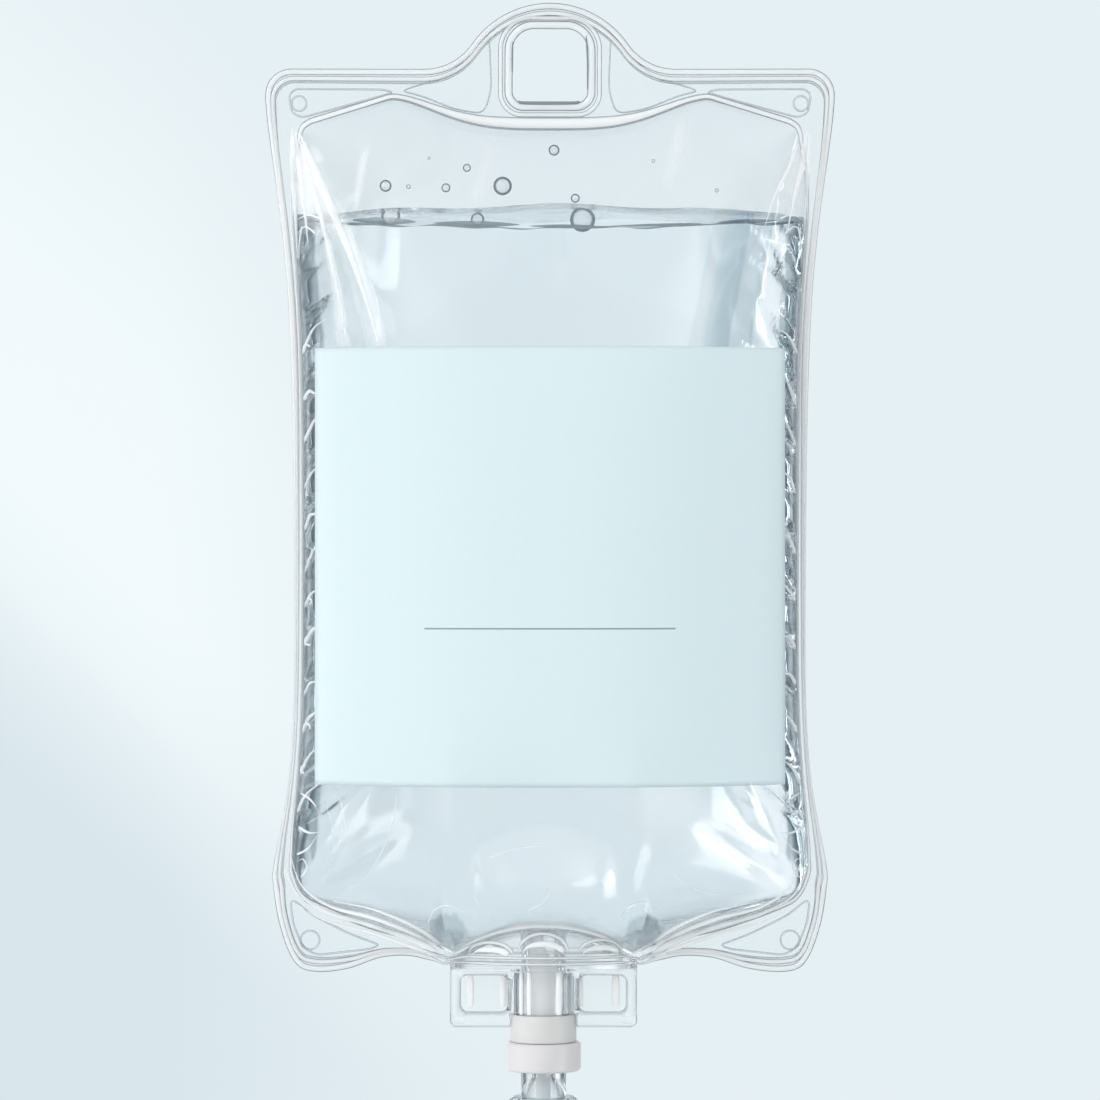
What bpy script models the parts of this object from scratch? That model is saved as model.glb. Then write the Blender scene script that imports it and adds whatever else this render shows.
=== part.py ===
"""Infusion bag of clear film, with its liquid, label and port, on a spiked drip chamber.

Metres, +Z up, front towards -Y. The origin is the middle of the eyelet's top edge, where the bag
bears on its hook. A DROP is a height measured down from there.
"""

import math

import bmesh
import bpy
import numpy as np
from mathutils import Matrix, Vector

MM = 0.001

# Clearances
FIT = 0.3 * MM
SPIKE_FIT = 0.3 * MM
SEPTUM_FIT = 0.15 * MM
FLUID_FIT = 0.5 * MM

# Outline of the bag
CROWN_TOP = 5.2 * MM
BAG_LENGTH = 193.8 * MM
CROWN_RADIUS = 18.5 * MM
CROWN_FILLET = 12.0 * MM
SHOULDER_DROP = 8.0 * MM
TOP_HALF_WIDTH = 56.7 * MM
TOP_CORNER_RADIUS = 4.8 * MM
TOP_FLARE_REACH = 28.0 * MM
WAIST_HALF_WIDTH = 51.0 * MM
HIP_RISE = 18.6 * MM
BOTTOM_HALF_WIDTH = 55.5 * MM
BOTTOM_FLARE_REACH = 17.0 * MM
FOOT_INSET = 8.5 * MM
FOOT_RISE = 3.5 * MM
RIM_BEAD_WIDTH = 2.4 * MM
RIM_BEAD_HEIGHT = 0.35 * MM

# Seam of the pouch
SEAM_CENTRE_DROP = 20.2 * MM
SEAM_PEAK_DROP = 14.1 * MM
SEAM_PEAK_X = 31.8 * MM
SEAM_CORNER_DROP = 19.6 * MM
SEAM_CORNER_RADIUS = 2.0 * MM
TOP_FLANGE = 6.4 * MM
SIDE_FLANGE = 1.6 * MM
BOTTOM_FLANGE = 4.0 * MM
FLANGE_REACH = 11.0 * MM
SEAM_HIP_RISE = 20.6 * MM
SEAM_FOOT_RISE = 13.6 * MM
SEAM_FOOT_RADIUS = 5.5 * MM
SEAM_PORT_RISE = 4.3 * MM

# Films and the form of the filled pouch
FILM = 0.3 * MM
FILM_GAP = 0.3 * MM
DEPTH_AT_TOP = 15.5 * MM
DEPTH_AT_FOOT = 21.0 * MM
FULL_DEPTH_DROP = 150.0 * MM
TOP_TAPER = 62.0 * MM
FOOT_TAPER = 48.0 * MM
FULLNESS = 2.4
ROUNDNESS = 0.6

# Gathers along the side seams: what each of the rings inside the seam swells and sinks by
GATHERS = 14
GATHER_SLANT = 0.55
GATHER_INSETS = (1.2 * MM, 3.6 * MM, 8.0 * MM)
GATHER_REACH = 16.0 * MM
GATHER_SHARES = (0.10, 0.15, 0.055)
END_GATHER_SHARE = 0.3

# Eyelet
EYELET_WIDTH = 15.0 * MM
EYELET_HEIGHT = 14.8 * MM
EYELET_TOP_RADIUS = 4.4 * MM
EYELET_FOOT_RADIUS = 2.4 * MM
RING_WIDTH = 2.5 * MM
RING_HEIGHT = 0.6 * MM

# Liquid and label
LEVEL_DROP = 38.6 * MM
LABEL_WIDTH = 93.0 * MM
LABEL_HEIGHT = 86.4 * MM
LABEL_TOP_DROP = 64.2 * MM
LABEL = 0.2 * MM
LABEL_FIT = 0.5 * MM

# Port: boat between the films, frame with two windows, sleeve
PORT_X = -1.3 * MM
PORT_WIDTH = 37.5 * MM
PORT_EDGE_RISE = 1.4 * MM
BOAT_HALF_DEPTH = 7.4 * MM
BOAT_TIP = 0.8 * MM
BOAT_SEAM = 1.4 * MM
BOAT_FADE = 22.0 * MM
ARCH_RISE = 6.0 * MM
FRAME_HEIGHT = 12.1 * MM
FRAME_DEPTH = 5.0 * MM
FRAME_RADIUS = 1.2 * MM
TOP_RAIL = 1.6 * MM
FOOT_RAIL = 3.0 * MM
POST = 2.0 * MM
WEB = 1.0 * MM
WINDOW_RADIUS = 1.5 * MM
SLEEVE_RADIUS = 6.4 * MM
NOSE_RADIUS = 5.4 * MM

# Septum and collar
SEPTUM = 1.8 * MM
COLLAR_LENGTH = 5.5 * MM
COLLAR_RADIUS = 6.6 * MM
COLLAR_TAPER = 1.4 * MM
COLLAR_FLOOR = 1.0 * MM

# Spike
SPIKE_RADIUS = 3.9 * MM
SPIKE_TIP_RADIUS = 2.3 * MM
SPIKE_LENGTH = 22.3 * MM
SPIKE_TAPER = 5.0 * MM
SPIKE_BORE = 1.5 * MM
SPIKE_BEVEL_DEG = 52.0
HUB_RADIUS = 7.5 * MM
HUB_HEIGHT = 5.5 * MM
HUB_EDGE = 0.6 * MM
SOCKET_DEPTH = 1.6 * MM

# Drip chamber
NECK_RADIUS = 4.5 * MM
NECK_LENGTH = 5.2 * MM
NECK_WALL = 1.1 * MM
SHOULDER_HEIGHT = 2.4 * MM
BARREL_RADIUS = 7.0 * MM
BARREL_WALL = 0.8 * MM
BARREL_LENGTH = 42.0 * MM
PLUG_HEIGHT = 3.0 * MM
PLUG_WALL = 0.9 * MM
FORMER_RADIUS = 1.4 * MM
FORMER_BORE = 0.7 * MM
FORMER_LENGTH = 9.0 * MM
FORMER_FLANGE = 1.0 * MM
LEDGE = 1.0 * MM
FILTER = 0.6 * MM
BASE_FLANGE = 1.6 * MM
OUTLET_RADIUS = 2.1 * MM
OUTLET_BORE = 1.3 * MM
OUTLET_LENGTH = 9.0 * MM

# Steps of the curves
CROWN_STEPS = 5
FILLET_STEPS = 3
SHOULDER_STEPS = 4
CORNER_STEPS = 3
SIDE_STEPS = 2 * GATHERS
FOOT_STEPS = 8
PORT_STEPS = 6
TURN_STEPS = 18
LABEL_STEPS = (12, 5)

# Heights and radii that follow from the sizes
SHOULDER_Z = -SHOULDER_DROP
FOOT_Z = CROWN_TOP - BAG_LENGTH
HIP_Z = FOOT_Z + HIP_RISE
PORT_EDGE_Z = FOOT_Z + PORT_EDGE_RISE
SEAM_CORNER_Z = -SEAM_CORNER_DROP
SEAM_HIP_Z = FOOT_Z + SEAM_HIP_RISE
SEAM_FOOT_Z = FOOT_Z + SEAM_FOOT_RISE
SEAM_PORT_Z = FOOT_Z + SEAM_PORT_RISE
PORT_HALF = PORT_WIDTH / 2
ARCH_HALF = PORT_HALF - BOAT_TIP
FRAME_TOP_Z = PORT_EDGE_Z - FIT
FRAME_FOOT_Z = FRAME_TOP_Z - FRAME_HEIGHT
SLEEVE_FOOT_Z = FRAME_FOOT_Z + FOOT_RAIL
SLEEVE_BORE = SPIKE_RADIUS + SPIKE_FIT
COLLAR_TOP_Z = SLEEVE_FOOT_Z - FIT
COLLAR_FOOT_Z = COLLAR_TOP_Z - COLLAR_LENGTH
SEPTUM_FOOT_Z = COLLAR_FOOT_Z + COLLAR_FLOOR + FIT
SEPTUM_TOP_Z = SEPTUM_FOOT_Z + SEPTUM
NOSE_FOOT_Z = SEPTUM_TOP_Z + FIT
HUB_TOP_Z = COLLAR_FOOT_Z - FIT
SPIKE_TIP_Z = HUB_TOP_Z + SPIKE_LENGTH
HUB_FOOT_Z = HUB_TOP_Z - HUB_HEIGHT
SOCKET_Z = HUB_FOOT_Z + SOCKET_DEPTH
NECK_TOP_Z = SOCKET_Z - FIT
NECK_FOOT_Z = HUB_FOOT_Z - NECK_LENGTH
FORMER_TOP_Z = NECK_TOP_Z - FIT
LEDGE_TOP_Z = FORMER_TOP_Z - FORMER_FLANGE - FIT
CAP_FOOT_Z = NECK_FOOT_Z - SHOULDER_HEIGHT
BARREL_TOP_Z = CAP_FOOT_Z - FIT
BARREL_FOOT_Z = BARREL_TOP_Z - BARREL_LENGTH
BARREL_BORE = BARREL_RADIUS - BARREL_WALL
PLUG_RADIUS = BARREL_BORE - FIT
PLUG_BORE = PLUG_RADIUS - PLUG_WALL
BASE_TOP_Z = BARREL_FOOT_Z + PLUG_HEIGHT
FLANGE_TOP_Z = BARREL_FOOT_Z - FIT
FLANGE_FOOT_Z = FLANGE_TOP_Z - BASE_FLANGE


# Scene, collections and materials


def clear_scene():
    for obj in list(bpy.data.objects):
        bpy.data.objects.remove(obj, do_unlink=True)


def collection(name):
    made = bpy.data.collections.new(name)
    bpy.context.scene.collection.children.link(made)
    return made


def material(name, colour, roughness, transmission=0.0):
    made = bpy.data.materials.new(name)
    made.use_nodes = True
    shader = made.node_tree.nodes["Principled BSDF"]
    shader.inputs["Base Color"].default_value = (*colour, 1.0)
    shader.inputs["Roughness"].default_value = roughness
    shader.inputs["Metallic"].default_value = 0.0
    shader.inputs["Transmission Weight"].default_value = transmission
    return made


# Mesh helpers


def mesh_of(bm, name):
    for face in bm.faces:
        face.smooth = True
    mesh = bpy.data.meshes.new(name)
    bm.to_mesh(mesh)
    bm.free()
    mesh.set_sharp_from_angle(angle=math.radians(35.0))
    return mesh


def part(name, mesh, finish, x=0.0):
    obj = bpy.data.objects.new(name, mesh)
    obj.location.x = x
    mesh.materials.append(finish)
    PARTS.objects.link(obj)
    return obj


def guide(name, mesh, x=0.0):
    """Hidden solid that cuts or joins another."""
    obj = bpy.data.objects.new(name, mesh)
    obj.location.x = x
    obj.hide_render = True
    obj.display_type = "WIRE"
    GUIDES.objects.link(obj)
    return obj


def combine(target, tool, operation):
    step = target.modifiers.new(tool.name, "BOOLEAN")
    step.operation = operation
    step.object = tool


def prism(name, outline, low, high, upright=False):
    """Closed flat outline, extruded from low to high along Z, or along -Y if it stands upright."""
    curve = bpy.data.curves.new(name, "CURVE")
    curve.dimensions = "2D"
    curve.fill_mode = "BOTH"
    curve.extrude = (high - low) / 2
    loop = curve.splines.new("POLY")
    loop.points.add(len(outline) - 1)
    for point, place in zip(loop.points, outline):
        point.co = (*place, 0.0, 1.0)
    loop.use_cyclic_u = True
    sketch = bpy.data.objects.new(name, curve)
    GUIDES.objects.link(sketch)
    solid = sketch.evaluated_get(bpy.context.evaluated_depsgraph_get())
    bm = bmesh.new()
    bm.from_mesh(bpy.data.meshes.new_from_object(solid))
    bpy.data.objects.remove(sketch, do_unlink=True)
    bmesh.ops.remove_doubles(bm, verts=bm.verts, dist=0.001 * MM)
    bmesh.ops.translate(bm, vec=(0.0, 0.0, (low + high) / 2), verts=bm.verts)
    if upright:
        bmesh.ops.transform(bm, matrix=Matrix.Rotation(math.pi / 2, 4, "X"), verts=bm.verts)
    bmesh.ops.recalc_face_normals(bm, faces=bm.faces)
    return mesh_of(bm, name)


def cylinder(name, radius, low, high):
    bm = bmesh.new()
    bmesh.ops.create_cone(
        bm, cap_ends=True, segments=TURN_STEPS, radius1=radius, radius2=radius, depth=high - low
    )
    bmesh.ops.translate(bm, vec=(0.0, 0.0, (low + high) / 2), verts=bm.verts)
    return mesh_of(bm, name)


def turned(name, profile, finish):
    """Closed profile of (radius, z), its outer side first and downwards, turned about the port."""
    bm = bmesh.new()
    points = [bm.verts.new((radius, 0.0, z)) for radius, z in profile]
    for first, second in zip(points, points[1:] + points[:1]):
        bm.edges.new((first, second))
    obj = part(name, mesh_of(bm, name), finish, PORT_X)
    turn = obj.modifiers.new("turn", "SCREW")
    turn.axis = "Z"
    turn.angle = 2 * math.pi
    turn.steps = turn.render_steps = TURN_STEPS
    turn.use_merge_vertices = True
    turn.merge_threshold = 0.001 * MM
    turn.use_smooth_shade = True
    return obj


# Curves


def arc(centre, radius, start_deg, end_deg, steps):
    """Points of an arc without its last one."""
    turns = [math.radians(start_deg + (end_deg - start_deg) * i / steps) for i in range(steps)]
    return [
        Vector((centre[0] + radius * math.cos(turn), centre[1] + radius * math.sin(turn)))
        for turn in turns
    ]


def line(start, end, steps):
    """Points of a straight stretch without its last one."""
    return [Vector(start).lerp(Vector(end), i / steps) for i in range(steps)]


def curve_through(keys, steps):
    """Points of a smooth curve through the keys, without its last one."""
    keys = [Vector(key) for key in (keys[0], *keys, keys[-1])]
    points = []
    for step in range(steps):
        along = step * (len(keys) - 3) / steps
        first = int(along)
        t = along - first
        a, b, c, d = keys[first : first + 4]
        straight = 2 * b + (c - a) * t
        bent = (2 * a - 5 * b + 4 * c - d) * t**2 + (3 * b - a - 3 * c + d) * t**3
        points.append(0.5 * (straight + bent))
    return points


def rounded_rectangle(left, right, low, high, low_radius, high_radius, steps=4):
    return [
        *arc((right - high_radius, high - high_radius), high_radius, 0, 90, steps),
        Vector((right - high_radius, high)),
        *arc((left + high_radius, high - high_radius), high_radius, 90, 180, steps),
        Vector((left, high - high_radius)),
        *arc((left + low_radius, low + low_radius), low_radius, 180, 270, steps),
        Vector((left + low_radius, low)),
        *arc((right - low_radius, low + low_radius), low_radius, 270, 360, steps),
        Vector((right, low + low_radius)),
    ]


def clamp(value):
    return max(0.0, min(1.0, value))


def ease(value):
    value = clamp(value)
    return value * value * (3 - 2 * value)


# Outline and seam. Each is one half, from the crown to the port, with as many points as the other;
# port_x is where that half sees the port.


def flare(distance, reach):
    """1 at the end of a side, fading to 0 along it."""
    return math.exp(-((max(0.0, distance) / reach) ** 1.5))


def side_rim(z):
    """Half width of the bag."""
    top = flare(SHOULDER_Z - TOP_CORNER_RADIUS - z, TOP_FLARE_REACH)
    foot = flare(z - HIP_Z, BOTTOM_FLARE_REACH)
    top_flare = (TOP_HALF_WIDTH - WAIST_HALF_WIDTH) * top
    return WAIST_HALF_WIDTH + top_flare + (BOTTOM_HALF_WIDTH - WAIST_HALF_WIDTH) * foot


def side_seam(z):
    """Half width of the pouch."""
    top = flare(SEAM_CORNER_Z - z, FLANGE_REACH)
    foot = flare(z - HIP_Z, FLANGE_REACH)
    top_flange = (TOP_FLANGE - SIDE_FLANGE) * top
    return side_rim(z) - SIDE_FLANGE - top_flange - (BOTTOM_FLANGE - SIDE_FLANGE) * foot


def top_seam(x):
    """Height of the seam under the crown and the shoulders."""
    if x < SEAM_PEAK_X:
        rise = ease((x / SEAM_PEAK_X) ** 1.8)
        return -SEAM_CENTRE_DROP + (SEAM_CENTRE_DROP - SEAM_PEAK_DROP) * rise
    fall = clamp((x - SEAM_PEAK_X) / (side_seam(SEAM_CORNER_Z) - SEAM_PEAK_X))
    return -SEAM_PEAK_DROP - (SEAM_CORNER_DROP - SEAM_PEAK_DROP) * fall


def arch(across):
    """Height of the seam over the port's boat."""
    radius = (ARCH_HALF**2 + ARCH_RISE**2) / (2 * ARCH_RISE)
    return SEAM_PORT_Z + ARCH_RISE - radius + math.sqrt(max(0.0, radius**2 - across**2))


def rim_half(port_x):
    crown_z = CROWN_TOP - CROWN_RADIUS
    fillet_z = SHOULDER_Z + CROWN_FILLET
    centres = CROWN_RADIUS + CROWN_FILLET
    turn = math.acos((fillet_z - crown_z) / centres)
    fillet_x = centres * math.sin(turn)
    turn_deg = math.degrees(turn)
    corner = Vector((TOP_HALF_WIDTH - TOP_CORNER_RADIUS, SHOULDER_Z - TOP_CORNER_RADIUS))
    foot_x = BOTTOM_HALF_WIDTH - FOOT_INSET
    port_end = Vector((port_x + PORT_HALF + BOAT_SEAM, PORT_EDGE_Z))
    foot_keys = [
        (side_rim(HIP_Z), HIP_Z),
        (BOTTOM_HALF_WIDTH - 0.20 * FOOT_INSET, HIP_Z + 0.5 * (FOOT_Z - HIP_Z)),
        (BOTTOM_HALF_WIDTH - 0.55 * FOOT_INSET, HIP_Z + 0.9 * (FOOT_Z - HIP_Z)),
        (foot_x, FOOT_Z),
        (foot_x + 0.25 * (port_end.x - foot_x), FOOT_Z + 0.2 * FOOT_RISE),
        (foot_x + 0.5 * (port_end.x - foot_x), FOOT_Z + 0.9 * FOOT_RISE),
        (foot_x + 0.75 * (port_end.x - foot_x), FOOT_Z + FOOT_RISE),
        port_end,
    ]
    return [
        *arc((0.0, crown_z), CROWN_RADIUS, 90, 90 - turn_deg, CROWN_STEPS),
        *arc((fillet_x, fillet_z), CROWN_FILLET, 270 - turn_deg, 270, FILLET_STEPS),
        *line((fillet_x, SHOULDER_Z), (corner.x, SHOULDER_Z), SHOULDER_STEPS),
        *arc(corner, TOP_CORNER_RADIUS, 90, 0, CORNER_STEPS),
        *(Vector((side_rim(z), z)) for _, z in line((0.0, corner.y), (0.0, HIP_Z), SIDE_STEPS)),
        *curve_through(foot_keys, FOOT_STEPS),
        *line(port_end, (port_x, PORT_EDGE_Z), PORT_STEPS),
        Vector((port_x, PORT_EDGE_Z)),
    ]


def seam_half(port_x):
    corner_x = side_seam(SEAM_CORNER_Z) - SEAM_CORNER_RADIUS
    side_z = SEAM_CORNER_Z - SEAM_CORNER_RADIUS
    top_xs = [
        *np.linspace(0.0, 0.42 * SEAM_PEAK_X, CROWN_STEPS, endpoint=False),
        *np.linspace(0.42 * SEAM_PEAK_X, 0.8 * SEAM_PEAK_X, FILLET_STEPS, endpoint=False),
        *np.linspace(0.8 * SEAM_PEAK_X, corner_x, SHOULDER_STEPS, endpoint=False),
    ]
    hip_x = side_seam(SEAM_HIP_Z)
    arch_x = port_x + ARCH_HALF
    foot_x = hip_x - SEAM_FOOT_RADIUS
    foot_keys = [
        (hip_x, SEAM_HIP_Z),
        (hip_x - 0.3 * SEAM_FOOT_RADIUS, SEAM_HIP_Z + 0.63 * (SEAM_FOOT_Z - SEAM_HIP_Z)),
        (foot_x, SEAM_FOOT_Z),
        (foot_x + 0.43 * (arch_x - foot_x), SEAM_FOOT_Z + 0.48 * (SEAM_PORT_Z - SEAM_FOOT_Z)),
        (foot_x + 0.85 * (arch_x - foot_x), SEAM_FOOT_Z + 0.81 * (SEAM_PORT_Z - SEAM_FOOT_Z)),
        (arch_x, SEAM_PORT_Z),
    ]
    corner = line((corner_x, top_seam(corner_x)), (side_seam(side_z), side_z), CORNER_STEPS)
    side_zs = np.linspace(side_z, SEAM_HIP_Z, SIDE_STEPS, endpoint=False)
    arch_xs = np.linspace(ARCH_HALF, 0.0, PORT_STEPS + 1)
    return [
        *(Vector((x, top_seam(x))) for x in top_xs),
        *corner,
        *(Vector((side_seam(z), z)) for z in side_zs),
        *curve_through(foot_keys, FOOT_STEPS),
        *(Vector((port_x + across, arch(across))) for across in arch_xs),
    ]


# Form of the films: how far each one's inner face lies from the middle plane


def foot_line(side):
    """The seam's foot on one side, from the port outwards, as distances and heights."""
    points = seam_half(side * PORT_X)[-FOOT_STEPS - PORT_STEPS - 1 :]
    return [p.x for p in reversed(points)], [p.y for p in reversed(points)]


FOOT_LINES = {side: foot_line(side) for side in (1, -1)}


def swell(share):
    """Rounding of the pouch away from a seam, 0 at the seam."""
    return 1 - (1 - clamp(share)) ** FULLNESS


def fill(x, z):
    """Half depth of the liquid's smooth form, 0 on the seam."""
    across = abs(x)
    foot_z = np.interp(across, *FOOT_LINES[1 if x >= 0 else -1])
    depth = DEPTH_AT_TOP + (DEPTH_AT_FOOT - DEPTH_AT_TOP) * clamp(-z / FULL_DEPTH_DROP)
    wide = swell(1 - across / side_seam(z))
    tall = swell((top_seam(across) - z) / TOP_TAPER) * swell((z - foot_z) / FOOT_TAPER)
    return depth * (wide * tall) ** ROUNDNESS


def boat_half(across):
    """Half depth of the boat, a lens in plan with blunt tips."""
    return BOAT_TIP + (BOAT_HALF_DEPTH - BOAT_TIP) * (1 - min(1.0, across / PORT_HALF) ** 2)


def film_face(x, z):
    across = abs(x - PORT_X)
    flat = ease((across - PORT_HALF) / BOAT_SEAM)
    fade = ease((z - arch(across)) / BOAT_FADE)
    boat = (boat_half(across) + FIT) * (1 - flat) * (1 - fade)
    return max(FILM_GAP / 2, boat) + fill(x, z)


class Station:
    """One line across the bag, from its rim over the seam to the pouch's spine."""

    def __init__(self, index, side):
        sides_done = index - CROWN_STEPS - FILLET_STEPS - SHOULDER_STEPS - CORNER_STEPS
        along = clamp(sides_done / SIDE_STEPS)
        spine_top = -SEAM_CENTRE_DROP - 0.6 * TOP_TAPER
        spine_foot = SEAM_FOOT_Z + 0.5 * FOOT_TAPER
        self.index = index
        self.side = side
        self.rim = self.place(RIMS[side][index])
        self.seam = self.place(SEAMS[side][index])
        self.spine = Vector((0.0, spine_top + (spine_foot - spine_top) * along))
        self.on_side = math.sqrt(math.sin(math.pi * along)) if 0 < along < 1 else 0.0

    def place(self, point):
        return Vector((self.side * point.x, point.y))

    def bead(self):
        """Inner edge of the rim's bead."""
        inwards = self.seam - self.rim
        return self.rim + inwards.normalized() * min(RIM_BEAD_WIDTH, 0.45 * inwards.length)

    def inset(self, ring):
        """Point inside the seam, on a slant where the sides gather."""
        inset = GATHER_INSETS[ring]
        slant = Vector((0.0, GATHER_SLANT * inset * self.on_side))
        return self.seam + (self.spine - self.seam).normalized() * inset + slant

    def gather(self, ring, phase):
        """Factor that swells every other station and sinks those between."""
        sign = 1 if (self.index + phase) % 2 else -1
        strength = END_GATHER_SHARE + (1 - END_GATHER_SHARE) * self.on_side
        return 1 + sign * GATHER_SHARES[ring] * strength


RIMS = {side: rim_half(side * PORT_X) for side in (1, -1)}
SEAMS = {side: seam_half(side * PORT_X) for side in (1, -1)}
HALF = len(RIMS[1])
STATIONS = [Station(i, 1) for i in range(HALF)] + [Station(i, -1) for i in range(HALF - 2, 0, -1)]


def pouch_rings(phases):
    """Rings of (x, z, half gap) inside the seam; phases are those of the right and left gathers."""
    rings = []
    for ring in range(len(GATHER_INSETS)):
        points = [(station.inset(ring), station) for station in STATIONS]
        rings.append(
            [(*p, film_face(*p) * s.gather(ring, phases[s.side])) for p, s in points]
        )
    inner = [(station.inset(len(GATHER_INSETS) - 1), station.spine) for station in STATIONS[::2]]
    for share in (0.3, 0.62, 1.0):
        rings.append([(*p, film_face(*p)) for p in (edge.lerp(mid, share) for edge, mid in inner)])
    return rings


def add_skin(bm, rings, facing):
    """Sheet through closed rings of (x, z, half gap), some with half as many points as the last."""
    loops = [[bm.verts.new((x, facing * gap, z)) for x, z, gap in ring] for ring in rings]
    for outer, inner in zip(loops, loops[1:]):
        count = len(inner)
        for i in range(count):
            after = (i + 1) % count
            if len(outer) == count:
                bm.faces.new((outer[i], outer[after], inner[after]))
                bm.faces.new((outer[i], inner[after], inner[i]))
                continue
            first, second, third = outer[2 * i], outer[2 * i + 1], outer[(2 * i + 2) % len(outer)]
            bm.faces.new((first, second, inner[i]))
            bm.faces.new((second, inner[after], inner[i]))
            bm.faces.new((second, third, inner[after]))


# Parts of the bag


def film(name, facing, phases, finish):
    """One formed sheet; facing is -1 in front and 1 behind."""
    rim = [(*s.rim, film_face(*s.rim) + RIM_BEAD_HEIGHT) for s in STATIONS]
    bead = [(*s.bead(), film_face(*s.bead())) for s in STATIONS]
    seam = [(*s.seam, film_face(*s.seam)) for s in STATIONS]
    bm = bmesh.new()
    add_skin(bm, [rim, bead, seam, *pouch_rings(phases)], facing)
    bmesh.ops.remove_doubles(bm, verts=bm.verts, dist=0.01 * MM)
    bmesh.ops.recalc_face_normals(bm, faces=bm.faces)
    if sum(face.normal.y * face.calc_area() for face in bm.faces) * facing < 0:
        bmesh.ops.reverse_faces(bm, faces=bm.faces)
    obj = part(name, mesh_of(bm, name), finish)
    shell = obj.modifiers.new("shell", "SOLIDIFY")
    shell.thickness = FILM
    shell.offset = 1.0
    shell.use_even_offset = True
    half = EYELET_WIDTH / 2
    ring_outline = rounded_rectangle(
        -half - RING_WIDTH,
        half + RING_WIDTH,
        -EYELET_HEIGHT - RING_WIDTH,
        RING_WIDTH,
        EYELET_FOOT_RADIUS + RING_WIDTH,
        EYELET_TOP_RADIUS + RING_WIDTH,
    )
    inner, outer = FILM_GAP / 2 + FILM / 2, FILM_GAP / 2 + FILM + RING_HEIGHT
    depths = (inner, outer) if facing < 0 else (-outer, -inner)
    combine(obj, guide(f"{name}_ring", prism(f"{name}_ring", ring_outline, *depths, True)), "UNION")
    combine(obj, EYELET_HOLE, "DIFFERENCE")
    return obj


def eyelet_hole():
    half = EYELET_WIDTH / 2
    outline = rounded_rectangle(
        -half, half, -EYELET_HEIGHT, 0.0, EYELET_FOOT_RADIUS, EYELET_TOP_RADIUS
    )
    reach = 4 * (FILM + RING_HEIGHT)
    return guide("eyelet_hole", prism("eyelet_hole", outline, -reach, reach, True))


def fluid(phases_front, phases_back, finish):
    bm = bmesh.new()
    edge = [(*s.seam.lerp(s.inset(0), 0.35), 0.0) for s in STATIONS]
    for facing, phases in ((-1, phases_front), (1, phases_back)):
        rings = [
            [(x, z, max(gap - FLUID_FIT, 0.35 * gap)) for x, z, gap in ring]
            for ring in pouch_rings(phases)
        ]
        add_skin(bm, [edge, *rings], facing)
    bmesh.ops.remove_doubles(bm, verts=bm.verts, dist=0.01 * MM)
    bmesh.ops.recalc_face_normals(bm, faces=bm.faces)
    obj = part("fluid", mesh_of(bm, "fluid"), finish)
    air = rounded_rectangle(
        -2 * TOP_HALF_WIDTH, 2 * TOP_HALF_WIDTH, -LEVEL_DROP, LEVEL_DROP, MM, MM, steps=1
    )
    reach = 2 * (DEPTH_AT_FOOT + DEPTH_AT_TOP)
    combine(obj, guide("air", prism("air", air, -reach, reach, True)), "DIFFERENCE")
    return obj


def label_face(x, z):
    """Inner face of the label, clear of the film and of its gathers."""
    step = 0.5 * MM
    face = film_face(x, z)
    slope_x = (film_face(x + step, z) - film_face(x - step, z)) / (2 * step)
    slope_z = (film_face(x, z + step) - film_face(x, z - step)) / (2 * step)
    steepness = math.sqrt(1 + slope_x**2 + slope_z**2)
    inset = side_seam(z) - abs(x)
    crest = np.interp(inset, (0.0, *GATHER_INSETS, GATHER_REACH), (0.0, *GATHER_SHARES, 0.0))
    return face * (1 + crest) + (FILM + LABEL_FIT) * steepness


def label(finish):
    columns, rows = LABEL_STEPS
    bm = bmesh.new()
    grid = [
        [
            bm.verts.new((x, -label_face(x, z), z))
            for x in np.linspace(-LABEL_WIDTH / 2, LABEL_WIDTH / 2, columns + 1)
        ]
        for z in np.linspace(-LABEL_TOP_DROP, -LABEL_TOP_DROP - LABEL_HEIGHT, rows + 1)
    ]
    for upper, lower in zip(grid, grid[1:]):
        for i in range(columns):
            bm.faces.new((upper[i], lower[i], lower[i + 1], upper[i + 1]))
    obj = part("label", mesh_of(bm, "label"), finish)
    sheet = obj.modifiers.new("sheet", "SOLIDIFY")
    sheet.thickness = LABEL
    sheet.offset = 1.0
    return obj


# Port


def boat():
    """Lens in plan, arched in front view, so that it lies under the pouch's seam."""
    plan = [
        *((across, boat_half(abs(across))) for across in np.linspace(PORT_HALF, -PORT_HALF, 17)),
        *((across, -boat_half(abs(across))) for across in np.linspace(-PORT_HALF, PORT_HALF, 17)),
    ]
    lens = guide("boat", prism("boat", plan, FRAME_TOP_Z - 0.4 * TOP_RAIL, SEAM_PORT_Z + ARCH_RISE), PORT_X)
    reach = 2 * BOAT_HALF_DEPTH
    foot = FRAME_TOP_Z - TOP_RAIL
    front = [
        (1.1 * PORT_HALF, foot),
        *((across, arch(abs(across)) - BOAT_SEAM) for across in np.linspace(1.1, -1.1, 13) * PORT_HALF),
        (-1.1 * PORT_HALF, foot),
    ]
    combine(lens, guide("boat_front", prism("boat_front", front, -reach, reach, True), PORT_X), "INTERSECT")
    return lens


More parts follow.
